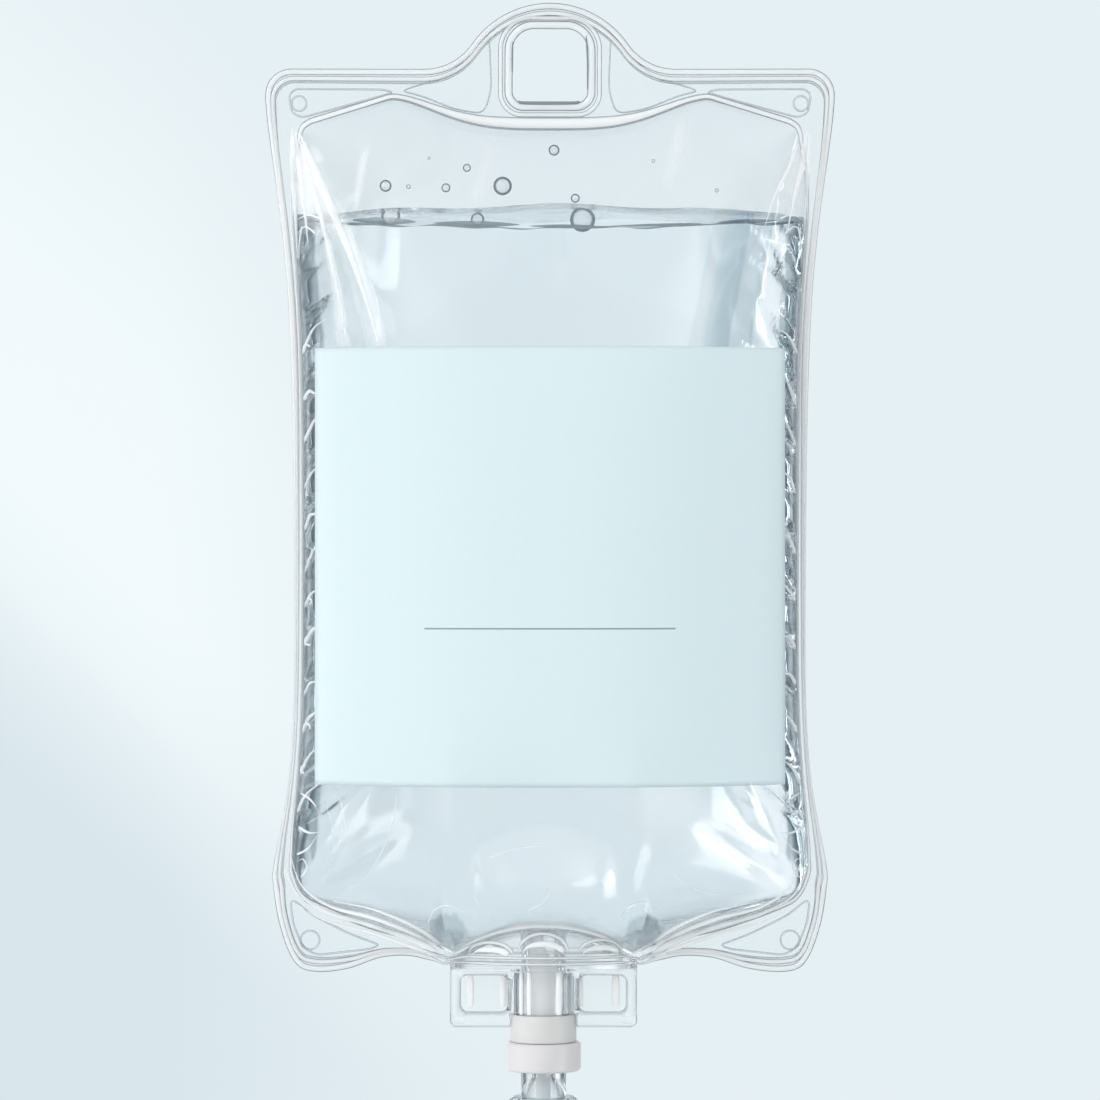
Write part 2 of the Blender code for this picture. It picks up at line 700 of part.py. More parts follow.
def port_frame(finish):
    plate = rounded_rectangle(
        -PORT_HALF, PORT_HALF, FRAME_FOOT_Z, FRAME_TOP_Z, FRAME_RADIUS, 0.3 * FRAME_RADIUS
    )
    half = FRAME_DEPTH / 2
    obj = part("port_frame", prism("port_frame", plate, -half, half, True), finish, PORT_X)
    for side in (1, -1):
        near, far = sorted((side * 0.8 * SLEEVE_RADIUS, side * (PORT_HALF - POST)))
        window = rounded_rectangle(
            near,
            far,
            FRAME_FOOT_Z + FOOT_RAIL,
            FRAME_TOP_Z - TOP_RAIL,
            WINDOW_RADIUS,
            WINDOW_RADIUS,
            steps=3,
        )
        for facing in (1, -1):
            name = f"window_{side}_{facing}"
            low, high = sorted((facing * WEB / 2, facing * FRAME_DEPTH))
            combine(obj, guide(name, prism(name, window, low, high, True), PORT_X), "DIFFERENCE")
    room = cylinder("collar_room", COLLAR_RADIUS + FIT, COLLAR_FOOT_Z, SLEEVE_FOOT_Z)
    combine(obj, guide("collar_room", room, PORT_X), "DIFFERENCE")
    combine(obj, boat(), "UNION")
    middle = (FRAME_TOP_Z + SEAM_PORT_Z) / 2
    sleeve = cylinder("sleeve", SLEEVE_RADIUS, SLEEVE_FOOT_Z, middle)
    combine(obj, guide("sleeve", sleeve, PORT_X), "UNION")
    nose = cylinder("nose", NOSE_RADIUS, NOSE_FOOT_Z, middle - TOP_RAIL)
    combine(obj, guide("nose", nose, PORT_X), "UNION")
    bore = cylinder("bore", SLEEVE_BORE, NOSE_FOOT_Z - HUB_HEIGHT, SEAM_PORT_Z + 2 * ARCH_RISE)
    combine(obj, guide("bore", bore, PORT_X), "DIFFERENCE")
    return obj


def septum(finish):
    bore = SPIKE_RADIUS + SEPTUM_FIT
    profile = [
        (NOSE_RADIUS, SEPTUM_TOP_Z),
        (NOSE_RADIUS, SEPTUM_FOOT_Z),
        (bore, SEPTUM_FOOT_Z),
        (bore, SEPTUM_TOP_Z),
    ]
    return turned("port_septum", profile, finish)


def collar(finish):
    seat = NOSE_RADIUS + FIT
    profile = [
        (SLEEVE_RADIUS, COLLAR_TOP_Z),
        (COLLAR_RADIUS, COLLAR_TOP_Z - COLLAR_TAPER),
        (COLLAR_RADIUS, COLLAR_FOOT_Z),
        (SLEEVE_BORE, COLLAR_FOOT_Z),
        (SLEEVE_BORE, COLLAR_FOOT_Z + COLLAR_FLOOR),
        (seat, COLLAR_FOOT_Z + COLLAR_FLOOR),
        (seat, COLLAR_TOP_Z),
    ]
    return turned("port_collar", profile, finish)


# Infusion set


def spike(finish):
    socket = NECK_RADIUS + FIT
    profile = [
        (SPIKE_TIP_RADIUS, SPIKE_TIP_Z),
        (SPIKE_RADIUS, SPIKE_TIP_Z - SPIKE_TAPER),
        (SPIKE_RADIUS, HUB_TOP_Z),
        (HUB_RADIUS - HUB_EDGE, HUB_TOP_Z),
        (HUB_RADIUS, HUB_TOP_Z - HUB_EDGE),
        (HUB_RADIUS, HUB_FOOT_Z + HUB_EDGE),
        (HUB_RADIUS - HUB_EDGE, HUB_FOOT_Z),
        (socket, HUB_FOOT_Z),
        (socket, SOCKET_Z),
        (SPIKE_BORE, SOCKET_Z),
        (SPIKE_BORE, SPIKE_TIP_Z),
    ]
    obj = turned("spike", profile, finish)
    run = 2 * SPIKE_TIP_RADIUS
    drop = run * math.tan(math.radians(SPIKE_BEVEL_DEG))
    bevel = [
        (-SPIKE_TIP_RADIUS, SPIKE_TIP_Z),
        (-SPIKE_TIP_RADIUS + 2 * run, SPIKE_TIP_Z - 2 * drop),
        (-SPIKE_TIP_RADIUS + 2 * run, SPIKE_TIP_Z + drop),
        (-SPIKE_TIP_RADIUS, SPIKE_TIP_Z + drop),
    ]
    cutter = prism("spike_bevel", bevel, -2 * SPIKE_RADIUS, 2 * SPIKE_RADIUS, True)
    combine(obj, guide("spike_bevel", cutter, PORT_X), "DIFFERENCE")
    return obj


def chamber_cap(finish):
    bore = NECK_RADIUS - NECK_WALL
    passage = FORMER_RADIUS + FIT
    profile = [
        (NECK_RADIUS, NECK_TOP_Z),
        (NECK_RADIUS, NECK_FOOT_Z),
        (BARREL_RADIUS - 0.35 * SHOULDER_HEIGHT, NECK_FOOT_Z),
        (BARREL_RADIUS, NECK_FOOT_Z - 0.35 * SHOULDER_HEIGHT),
        (BARREL_RADIUS, CAP_FOOT_Z),
        (PLUG_RADIUS, CAP_FOOT_Z),
        (PLUG_RADIUS, CAP_FOOT_Z - PLUG_HEIGHT),
        (PLUG_BORE, CAP_FOOT_Z - PLUG_HEIGHT),
        (PLUG_BORE, CAP_FOOT_Z),
        (passage, LEDGE_TOP_Z - LEDGE),
        (passage, LEDGE_TOP_Z),
        (bore, LEDGE_TOP_Z),
        (bore, NECK_TOP_Z),
    ]
    return turned("chamber_cap", profile, finish)


def drop_former(finish):
    flange = NECK_RADIUS - NECK_WALL - FIT
    profile = [
        (flange, FORMER_TOP_Z),
        (flange, FORMER_TOP_Z - FORMER_FLANGE),
        (FORMER_RADIUS, FORMER_TOP_Z - FORMER_FLANGE),
        (FORMER_RADIUS, FORMER_TOP_Z - FORMER_LENGTH),
        (FORMER_BORE, FORMER_TOP_Z - FORMER_LENGTH),
        (FORMER_BORE, FORMER_TOP_Z),
    ]
    return turned("drop_former", profile, finish)


def chamber_barrel(finish):
    profile = [
        (BARREL_RADIUS, BARREL_TOP_Z),
        (BARREL_RADIUS, BARREL_FOOT_Z),
        (BARREL_BORE, BARREL_FOOT_Z),
        (BARREL_BORE, BARREL_TOP_Z),
    ]
    return turned("chamber_barrel", profile, finish)


def chamber_filter(finish):
    low = BASE_TOP_Z + FIT
    return part("chamber_filter", cylinder("chamber_filter", PLUG_RADIUS, low, low + FILTER), finish, PORT_X)


def chamber_base(finish):
    outlet_top_z = FLANGE_FOOT_Z - 0.5 * BASE_FLANGE
    profile = [
        (PLUG_RADIUS, BASE_TOP_Z),
        (PLUG_RADIUS, FLANGE_TOP_Z),
        (BARREL_RADIUS, FLANGE_TOP_Z),
        (BARREL_RADIUS, FLANGE_FOOT_Z),
        (OUTLET_RADIUS + 0.5 * BASE_FLANGE, FLANGE_FOOT_Z),
        (OUTLET_RADIUS, outlet_top_z),
        (OUTLET_RADIUS, FLANGE_FOOT_Z - OUTLET_LENGTH),
        (OUTLET_BORE, FLANGE_FOOT_Z - OUTLET_LENGTH),
        (OUTLET_BORE, FLANGE_TOP_Z),
        (PLUG_BORE, BASE_TOP_Z),
    ]
    return turned("chamber_base", profile, finish)


clear_scene()
PARTS = collection("infusion_bag")
GUIDES = collection("cutters")

CLEAR_FILM = material("clear_film", (0.88, 0.93, 0.95), 0.08, 0.9)
BACK_FILM = material("back_film", (0.86, 0.91, 0.94), 0.08, 0.9)
LIQUID = material("clear_liquid", (0.80, 0.87, 0.91), 0.02, 0.9)
LABEL_SHEET = material("label_sheet", (0.79, 0.92, 0.94), 0.55)
CLEAR_MOULDING = material("clear_moulding", (0.83, 0.88, 0.90), 0.12, 0.8)
SEPTUM_RUBBER = material("septum_rubber", (0.62, 0.60, 0.56), 0.7)
FROSTED_WHITE = material("frosted_white", (0.90, 0.92, 0.93), 0.4, 0.3)
WHITE_PLASTIC = material("white_plastic", (0.93, 0.94, 0.95), 0.35)
CLEAR_CAP = material("clear_cap", (0.82, 0.87, 0.90), 0.1, 0.8)
FORMER_TUBE = material("former_tube", (0.85, 0.88, 0.90), 0.25, 0.4)
BARREL_TUBE = material("barrel_tube", (0.86, 0.91, 0.93), 0.08, 0.9)
FILTER_MESH = material("filter_mesh", (0.90, 0.90, 0.88), 0.8)
CLEAR_BASE = material("clear_base", (0.82, 0.87, 0.90), 0.12, 0.8)

EYELET_HOLE = eyelet_hole()
FRONT_PHASES = {1: 0, -1: 1}
BACK_PHASES = {1: 1, -1: 0}
film("front_film", -1, FRONT_PHASES, CLEAR_FILM)
film("back_film", 1, BACK_PHASES, BACK_FILM)
fluid(FRONT_PHASES, BACK_PHASES, LIQUID)
label(LABEL_SHEET)
port_frame(CLEAR_MOULDING)
septum(SEPTUM_RUBBER)
collar(FROSTED_WHITE)
spike(WHITE_PLASTIC)
chamber_cap(CLEAR_CAP)
drop_former(FORMER_TUBE)
chamber_barrel(BARREL_TUBE)
chamber_filter(FILTER_MESH)
chamber_base(CLEAR_BASE)
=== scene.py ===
"""Looks of the hanging infusion bag: clear films, weld beads, liquid, label, port and drip chamber."""

import math

import bmesh
import bpy
import numpy as np
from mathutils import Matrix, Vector


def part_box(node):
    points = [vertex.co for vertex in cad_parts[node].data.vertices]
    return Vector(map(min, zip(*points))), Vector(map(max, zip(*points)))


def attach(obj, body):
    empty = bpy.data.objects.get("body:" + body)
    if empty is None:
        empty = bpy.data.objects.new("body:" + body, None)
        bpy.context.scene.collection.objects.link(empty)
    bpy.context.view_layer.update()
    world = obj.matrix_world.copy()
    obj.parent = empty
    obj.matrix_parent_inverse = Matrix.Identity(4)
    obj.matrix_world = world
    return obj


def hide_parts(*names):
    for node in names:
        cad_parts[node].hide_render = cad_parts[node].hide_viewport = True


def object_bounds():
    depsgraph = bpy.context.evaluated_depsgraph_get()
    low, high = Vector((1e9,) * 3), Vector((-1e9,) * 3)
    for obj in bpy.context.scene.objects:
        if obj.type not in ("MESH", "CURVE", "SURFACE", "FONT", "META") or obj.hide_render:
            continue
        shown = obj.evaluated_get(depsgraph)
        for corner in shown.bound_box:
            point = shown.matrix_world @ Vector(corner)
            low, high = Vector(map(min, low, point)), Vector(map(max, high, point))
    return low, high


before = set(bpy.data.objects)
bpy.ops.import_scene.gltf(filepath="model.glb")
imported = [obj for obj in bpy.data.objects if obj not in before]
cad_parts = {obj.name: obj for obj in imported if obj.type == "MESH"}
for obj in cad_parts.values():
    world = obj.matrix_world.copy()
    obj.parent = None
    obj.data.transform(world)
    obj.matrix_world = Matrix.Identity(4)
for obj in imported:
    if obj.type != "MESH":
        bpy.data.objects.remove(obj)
cad_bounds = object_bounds()
MM = 0.001


# Camera, stage and light
# The bag hangs in front of a pale wall of light and is seen square on from nearly a metre away.

VIEW_DISTANCE = 0.9
VIEW_WIDTH = 0.22
VIEW_HEIGHT_Z = -0.1042

camera_data = bpy.data.cameras.new("camera")
camera_data.sensor_width = 36.0
camera_data.lens = camera_data.sensor_width * VIEW_DISTANCE / VIEW_WIDTH
camera = bpy.data.objects.new("camera", camera_data)
camera.location = (0.0, -VIEW_DISTANCE, VIEW_HEIGHT_Z)
camera.rotation_euler = (math.pi / 2, 0.0, 0.0)
scene = bpy.context.scene
scene.collection.objects.link(camera)
scene.camera = camera
scene.view_settings.view_transform = "Standard"
scene.cycles.max_bounces = 24
scene.cycles.glossy_bounces = 12
scene.cycles.transmission_bounces = 20
scene.cycles.transparent_max_bounces = 36

WALL = (0.787, 0.871, 0.905)
WALL_GLOW = (0.888, 0.956, 0.982)
WALL_SHADE = (0.694, 0.791, 0.839)
WALL_SLANT = 0.9
BRIGHT_SCREEN = (1.15, 1.2, 1.22)
STUDIO_SLATE = (0.10, 0.14, 0.17)
ROOM_GREY = (0.70, 0.725, 0.735)
FLOOR_Z = -0.33
FLOOR_RADIUS = 0.55
LAMP_AIM = (0.0, 0.0, -0.1)


def plug(tree, socket, value):
    """Links another node's output to a socket, or gives the socket a value; colours are opaque."""
    if isinstance(value, bpy.types.NodeSocket):
        tree.links.new(value, socket)
    elif socket.type == "RGBA":
        socket.default_value = (*value, 1.0)
    else:
        socket.default_value = value


def feed(tree, target, **inputs):
    """Plugs values into a node's inputs by name, underscores standing for spaces."""
    for name, value in inputs.items():
        plug(tree, target.inputs[name.replace("_", " ")], value)
    return target


def node(tree, kind, **inputs):
    return feed(tree, tree.nodes.new(kind), **inputs)


def math_node(tree, operation, *values, clamp=False):
    made = tree.nodes.new("ShaderNodeMath")
    made.operation = operation
    made.use_clamp = clamp
    for socket, value in zip(made.inputs, values):
        plug(tree, socket, value)
    return made.outputs[0]


def colour_ramp(tree, factor, stops):
    """Colour ramp through (place, colour) stops; a number stands for a grey."""
    ramp = tree.nodes.new("ShaderNodeValToRGB")
    elements = ramp.color_ramp.elements
    while len(elements) < len(stops):
        elements.new(0.5)
    for element, (place, colour) in zip(elements, stops):
        element.position = place
        element.color = (*colour, 1.0) if isinstance(colour, tuple) else (colour, colour, colour, 1.0)
    tree.links.new(factor, ramp.inputs[0])
    return ramp.outputs[0]


def mix_colour(tree, factor, first, second, blend="MIX"):
    mix = tree.nodes.new("ShaderNodeMix")
    mix.data_type = "RGBA"
    mix.blend_type = blend
    for index, value in ((0, factor), (6, first), (7, second)):
        plug(tree, mix.inputs[index], value)
    return mix.outputs[2]


def mix_shader(tree, factor, first, second):
    mix = tree.nodes.new("ShaderNodeMixShader")
    for socket, value in zip(mix.inputs, (factor, first.outputs[0], second.outputs[0])):
        plug(tree, socket, value)
    return mix


def axes(tree, space="Object"):
    """Coordinates of the shaded point."""
    place = tree.nodes.new("ShaderNodeTexCoord").outputs[space]
    return node(tree, "ShaderNodeSeparateXYZ", Vector=place).outputs


def cloud(tree, scale, detail, stretch=None, **inputs):
    """Noise over the object's coordinates, which stretch multiplies along each axis."""
    place = tree.nodes.new("ShaderNodeTexCoord").outputs["Object"]
    if stretch:
        place = node(tree, "ShaderNodeMapping", Vector=place, Scale=stretch).outputs[0]
    return node(tree, "ShaderNodeTexNoise", Vector=place, Scale=scale, Detail=detail, **inputs)


def new_finish(name):
    """New material with its node tree and its Principled shader."""
    finish = bpy.data.materials.new(name)
    finish.use_nodes = True
    return finish, finish.node_tree, finish.node_tree.nodes["Principled BSDF"]


def light_world():
    """Pale wall for the camera; for glass also slate panels between the wall and the side lights."""
    world = bpy.data.worlds.new("studio")
    scene.world = world
    world.use_nodes = True
    tree = world.node_tree
    tree.nodes.clear()
    east, north, up = axes(tree, "Generated")
    slant = math_node(tree, "ADD", math_node(tree, "MULTIPLY_ADD", east, WALL_SLANT, up), 0.5)
    west = math_node(tree, "MULTIPLY", east, -1.0)
    glow = math_node(
        tree, "MULTIPLY",
        colour_ramp(tree, slant, ((0.35, 0.0), (0.41, 1.0), (0.46, 0.9), (0.55, 0.0))),
        colour_ramp(tree, west, ((0.02, 0.0), (0.085, 1.0))),
    )
    shade = math_node(
        tree, "MULTIPLY",
        colour_ramp(tree, slant, ((0.345, 1.0), (0.385, 0.0))),
        colour_ramp(tree, west, ((0.0, 0.0), (0.085, 1.0))),
    )
    wall = mix_colour(tree, shade, mix_colour(tree, glow, WALL, WALL_GLOW), WALL_SHADE)
    squares = [math_node(tree, "MULTIPLY", way, way) for way in (east, north)]
    flat = math_node(tree, "SQRT", math_node(tree, "ADD", *squares))
    turn = math_node(tree, "DIVIDE", math_node(tree, "ABSOLUTE", east), flat)
    panel = colour_ramp(tree, turn, ((0.0, 0.0), (0.56, 0.0), (0.68, 1.0), (1.0, 1.0)))
    height = colour_ramp(tree, math_node(tree, "ABSOLUTE", up), ((0.0, 1.0), (0.45, 1.0), (0.66, 0.0)))
    screen = colour_ramp(tree, turn, ((0.0, 0.0), (0.28, 0.0), (0.36, 1.0), (0.5, 1.0), (0.56, 0.0)))
    one_side = colour_ramp(tree, math_node(tree, "ADD", east, 0.5), ((0.48, 1.0), (0.52, 0.15)))
    screen = math_node(tree, "MULTIPLY", math_node(tree, "MULTIPLY", screen, height), one_side)
    lit = mix_colour(tree, screen, wall, BRIGHT_SCREEN)
    studio = mix_colour(tree, math_node(tree, "MULTIPLY", panel, height), lit, STUDIO_SLATE)
    path = tree.nodes.new("ShaderNodeLightPath").outputs
    by_glass = math_node(tree, "ADD", path["Is Glossy Ray"], path["Is Transmission Ray"], clamp=True)
    seen = mix_colour(tree, by_glass, mix_colour(tree, path["Is Camera Ray"], ROOM_GREY, wall), studio)
    background = node(tree, "ShaderNodeBackground", Color=seen, Strength=1.0)
    node(tree, "ShaderNodeOutputWorld", Surface=background.outputs[0])


def soft_light(name, place, size, power, in_gloss):
    """Rectangular lamp that either shows in gloss or brightens surfaces."""
    data = bpy.data.lights.new(name, "AREA")
    data.shape = "RECTANGLE"
    data.size, data.size_y = size
    data.energy = power
    lamp = bpy.data.objects.new(name, data)
    lamp.location = place
    lamp.rotation_euler = (Vector(LAMP_AIM) - Vector(place)).to_track_quat("-Z", "Y").to_euler()
    lamp.visible_camera = False
    lamp.visible_glossy = in_gloss
    lamp.visible_diffuse = not in_gloss
    scene.collection.objects.link(lamp)


def lay_floor():
    """Pale disc under the bag that fades into the wall."""
    bm = bmesh.new()
    bmesh.ops.create_circle(bm, cap_ends=True, segments=96, radius=FLOOR_RADIUS)
    bmesh.ops.translate(bm, vec=(0.0, 0.0, FLOOR_Z), verts=bm.verts)
    mesh = bpy.data.meshes.new("floor")
    bm.to_mesh(mesh)
    bm.free()
    floor = bpy.data.objects.new("floor", mesh)
    scene.collection.objects.link(floor)
    finish, tree, shader = new_finish("floor")
    reach = tree.nodes.new("ShaderNodeVectorMath")
    reach.operation = "LENGTH"
    plug(tree, reach.inputs[0], tree.nodes.new("ShaderNodeTexCoord").outputs["Object"])
    share = math_node(tree, "DIVIDE", reach.outputs["Value"], FLOOR_RADIUS)
    edge = colour_ramp(tree, share, ((0.0, 1.0), (0.75, 0.6), (1.0, 0.0)))
    feed(tree, shader, Base_Color=(0.80, 0.86, 0.89), Roughness=0.9, Alpha=edge)
    mesh.materials.append(finish)


light_world()
for lamp in (
    ("key", (-0.7, -0.9, 0.45), (0.7, 0.7), 4.1, False),
    ("left_flank", (-0.9, -0.22, -0.15), (0.3, 0.6), 3.0, False),
    ("fill", (0.9, -0.7, 0.1), (0.3, 0.9), 1.3, False),
    ("left_strip", (-0.62, -0.66, -0.05), (0.07, 0.9), 0.2, True),
    ("right_strip", (0.86, -0.40, -0.05), (0.09, 0.9), 1.3, True),
    ("low_panel", (0.66, -0.50, -0.60), (0.34, 0.5), 2.6, True),
    ("low_left_panel", (-0.62, -0.52, -0.60), (0.16, 0.3), 0.4, True),
    ("left_edge", (-0.55, 0.30, -0.05), (0.10, 0.7), 0.25, True),
    ("right_edge", (0.55, 0.30, -0.05), (0.10, 0.7), 0.25, True),
):
    soft_light(*lamp)
lay_floor()


# Films
# Two formed sheets of clear polyolefin film, welded round the pouch and swollen by the liquid. The
# weld gathers the film along both sides, and long soft folds run from the corners and the port.

CROWN_TOP = cad_bounds[1][2]
CROWN_RADIUS = 18.5 * MM
CROWN_FILLET = 12.0 * MM
SHOULDER_Z = -8.0 * MM
FILM_LOW, FILM_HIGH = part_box("front_film")
TOP_HALF_WIDTH = FILM_HIGH[0]
TOP_CORNER_RADIUS = 4.8 * MM
WAIST_HALF_WIDTH = 51.0 * MM
HIP_Z = -170.0 * MM
BOTTOM_HALF_WIDTH = 55.5 * MM
FOOT_Z = FILM_LOW[2]
PORT_LOW, PORT_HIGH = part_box("port_frame")
PORT_X = (PORT_LOW[0] + PORT_HIGH[0]) / 2
PORT_HALF = (PORT_HIGH[0] - PORT_LOW[0]) / 2
PORT_EDGE_Z = -187.2 * MM
ARCH_HALF = PORT_HALF - 0.8 * MM
ARCH_RISE = 6.0 * MM
SEAM_PORT_Z = -184.3 * MM
SEAM_CORNER_Z = -19.6 * MM
SEAM_PEAK_X = 31.8 * MM
SEAM_PEAK_Z = -14.1 * MM
SEAM_CENTRE_Z = -20.2 * MM
SEAM_HIP_Z = -168.0 * MM
SEAM_FOOT_Z = -175.0 * MM
FILM_WALL = 0.22 * MM
FILM_HALF_GAP = 0.08 * MM
FILM_MERGE = 0.01 * MM
GATHER_PITCH = 10.5 * MM
STRETCH_STEPS = {"crown": 24, "fillet": 14, "shoulder": 26, "corner": 16, "side": 220, "foot": 48, "port": 28}
RING_STEPS = 44
RING_CROWDING = 1.4
FLANGE_SHARES = (0.0, 0.12, 0.3, 0.5, 0.7, 0.88)
SPINE_TOP = -57.0
SPINE_FOOT = -151.0
HALF_DEPTH = 15.5
DEEPER_BELOW = 5.5
DEEPEST_AT = 150.0 * MM
TOP_SWELL = 62.0 * MM
FOOT_SWELL = 48.0 * MM
SWELL_POWER = 2.4
FILL_POWER = 0.6


def smooth_step(value):
    value = np.clip(value, 0.0, 1.0)
    return value * value * (3 - 2 * value)


def flare(distance, reach):
    return np.exp(-((np.maximum(0.0, distance) / reach) ** 1.5))


def side_rim(z):
    top = flare(SHOULDER_Z - TOP_CORNER_RADIUS - z, 28.0 * MM)
    foot = flare(z - HIP_Z, 17.0 * MM)
    wider = (TOP_HALF_WIDTH - WAIST_HALF_WIDTH) * top + (BOTTOM_HALF_WIDTH - WAIST_HALF_WIDTH) * foot
    return WAIST_HALF_WIDTH + wider


def side_seam(z):
    top = flare(SEAM_CORNER_Z - z, 11.0 * MM)
    foot = flare(z - HIP_Z, 11.0 * MM)
    return side_rim(z) - (1.6 + 4.8 * top + 2.4 * foot) * MM


def top_seam(x):
    rise = smooth_step((np.minimum(x, SEAM_PEAK_X) / SEAM_PEAK_X) ** 1.8)
    fall = np.clip((x - SEAM_PEAK_X) / (side_seam(SEAM_CORNER_Z) - SEAM_PEAK_X), 0.0, 1.0)
    near = SEAM_CENTRE_Z + (SEAM_PEAK_Z - SEAM_CENTRE_Z) * rise
    return np.where(x < SEAM_PEAK_X, near, SEAM_PEAK_Z + (SEAM_CORNER_Z - SEAM_PEAK_Z) * fall)


def arch(across):
    radius = (ARCH_HALF**2 + ARCH_RISE**2) / (2 * ARCH_RISE)
    return SEAM_PORT_Z + ARCH_RISE - radius + np.sqrt(np.maximum(0.0, radius**2 - across**2))


def arc(centre, radius, start_deg, end_deg, steps):
    turn = np.radians(np.linspace(start_deg, end_deg, steps, endpoint=False))
    return np.column_stack((centre[0] + radius * np.cos(turn), centre[1] + radius * np.sin(turn)))


def straight(start, end, steps):
    share = np.linspace(0.0, 1.0, steps, endpoint=False)[:, None]
    return np.array(start) + (np.array(end) - np.array(start)) * share


def curve_through(keys, steps):
    """Points of a smooth curve through the keys, without its last one."""
    keys = np.array([keys[0], *keys, keys[-1]])
    along = np.arange(steps) * (len(keys) - 3) / steps
    first = along.astype(int)
    t = (along - first)[:, None]
    a, b, c, d = (keys[first + i] for i in range(4))
    bent = (2 * a - 5 * b + 4 * c - d) * t**2 + (3 * b - a - 3 * c + d) * t**3
    return 0.5 * (2 * b + (c - a) * t + bent)


def rim_half(port_x):
    """Outer edge from the crown to the port, on the right or, mirrored, on the left."""
    steps = STRETCH_STEPS
    crown_z = CROWN_TOP - CROWN_RADIUS
    fillet_z = SHOULDER_Z + CROWN_FILLET
    turn = math.acos((fillet_z - crown_z) / (CROWN_RADIUS + CROWN_FILLET))
    fillet_x = (CROWN_RADIUS + CROWN_FILLET) * math.sin(turn)
    turn_deg = math.degrees(turn)
    corner = (TOP_HALF_WIDTH - TOP_CORNER_RADIUS, SHOULDER_Z - TOP_CORNER_RADIUS)
    foot_x = BOTTOM_HALF_WIDTH - 8.5 * MM
    port_end = (port_x + PORT_HALF + 1.4 * MM, PORT_EDGE_Z)
    span = port_end[0] - foot_x
    fall = FOOT_Z - HIP_Z
    foot_keys = [
        (side_rim(HIP_Z), HIP_Z),
        (BOTTOM_HALF_WIDTH - 1.7 * MM, HIP_Z + 0.5 * fall),
        (BOTTOM_HALF_WIDTH - 4.7 * MM, HIP_Z + 0.9 * fall),
        (foot_x, FOOT_Z),
        (foot_x + 0.25 * span, FOOT_Z + 0.7 * MM),
        (foot_x + 0.5 * span, FOOT_Z + 3.15 * MM),
        (foot_x + 0.75 * span, FOOT_Z + 3.5 * MM),
        port_end,
    ]
    side_z = np.linspace(corner[1], HIP_Z, steps["side"], endpoint=False)
    return np.vstack((
        arc((0.0, crown_z), CROWN_RADIUS, 90, 90 - turn_deg, steps["crown"]),
        arc((fillet_x, fillet_z), CROWN_FILLET, 270 - turn_deg, 270, steps["fillet"]),
        straight((fillet_x, SHOULDER_Z), (corner[0], SHOULDER_Z), steps["shoulder"]),
        arc(corner, TOP_CORNER_RADIUS, 90, 0, steps["corner"]),
        np.column_stack((side_rim(side_z), side_z)),
        curve_through(foot_keys, steps["foot"]),
        straight(port_end, (port_x, PORT_EDGE_Z), steps["port"]),
        [(port_x, PORT_EDGE_Z)],
    ))


def seam_half(port_x):
    """Pouch's seam, with as many points as the rim."""
    steps = STRETCH_STEPS
    corner_x = side_seam(SEAM_CORNER_Z) - 2.0 * MM
    side_top = SEAM_CORNER_Z - 2.0 * MM
    top_x = np.concatenate((
        np.linspace(0.0, 0.42 * SEAM_PEAK_X, steps["crown"], endpoint=False),
        np.linspace(0.42 * SEAM_PEAK_X, 0.8 * SEAM_PEAK_X, steps["fillet"], endpoint=False),
        np.linspace(0.8 * SEAM_PEAK_X, corner_x, steps["shoulder"], endpoint=False),
    ))
    hip_x = side_seam(SEAM_HIP_Z)
    foot_x = hip_x - 5.5 * MM
    arch_x = port_x + ARCH_HALF
    foot_keys = [
        (hip_x, SEAM_HIP_Z),
        (hip_x - 1.65 * MM, SEAM_HIP_Z + 0.63 * (SEAM_FOOT_Z - SEAM_HIP_Z)),
        (foot_x, SEAM_FOOT_Z),
        (foot_x + 0.43 * (arch_x - foot_x), SEAM_FOOT_Z + 0.48 * (SEAM_PORT_Z - SEAM_FOOT_Z)),
        (foot_x + 0.85 * (arch_x - foot_x), SEAM_FOOT_Z + 0.81 * (SEAM_PORT_Z - SEAM_FOOT_Z)),
        (arch_x, SEAM_PORT_Z),
    ]
    corner_keys = [
        (corner_x, top_seam(corner_x)),
        (side_seam(SEAM_CORNER_Z) - 0.5 * MM, SEAM_CORNER_Z - 0.5 * MM),
        (side_seam(side_top), side_top),
    ]
    side_z = np.linspace(side_top, SEAM_HIP_Z, steps["side"], endpoint=False)
    across = np.linspace(ARCH_HALF, 0.0, steps["port"] + 1)
    return np.vstack((
        np.column_stack((top_x, top_seam(top_x))),
        curve_through(corner_keys, steps["corner"]),
        np.column_stack((side_seam(side_z), side_z)),
        curve_through(foot_keys, steps["foot"]),
        np.column_stack((port_x + across, arch(across))),
    ))


def spine_half():
    """Middle line of the pouch that each point of the seam looks to."""
    steps = STRETCH_STEPS
    before = steps["crown"] + steps["fillet"] + steps["shoulder"] + steps["corner"]
    total = sum(steps.values()) + 1
    share = np.clip((np.arange(total) - before) / steps["side"], 0.0, 1.0)
    return np.column_stack((np.zeros(total), SPINE_TOP * MM + (SPINE_FOOT - SPINE_TOP) * MM * share))


def whole(half):
    """Closed loop from a function of the port's place, right half first."""
    right, left = half(PORT_X), half(-PORT_X)
    left = left[-2:0:-1] * (-1.0, 1.0)
    return np.vstack((right, left))


RIM = whole(rim_half)
SEAM = whole(seam_half)
SPINE = whole(lambda port_x: spine_half())
FOOT_STRETCH = STRETCH_STEPS["foot"] + STRETCH_STEPS["port"] + 1
FOOT_RIGHT = seam_half(PORT_X)[-FOOT_STRETCH:][::-1]
FOOT_LEFT = seam_half(-PORT_X)[-FOOT_STRETCH:][::-1]


def swell(share):
    return 1 - (1 - np.clip(share, 0.0, 1.0)) ** SWELL_POWER


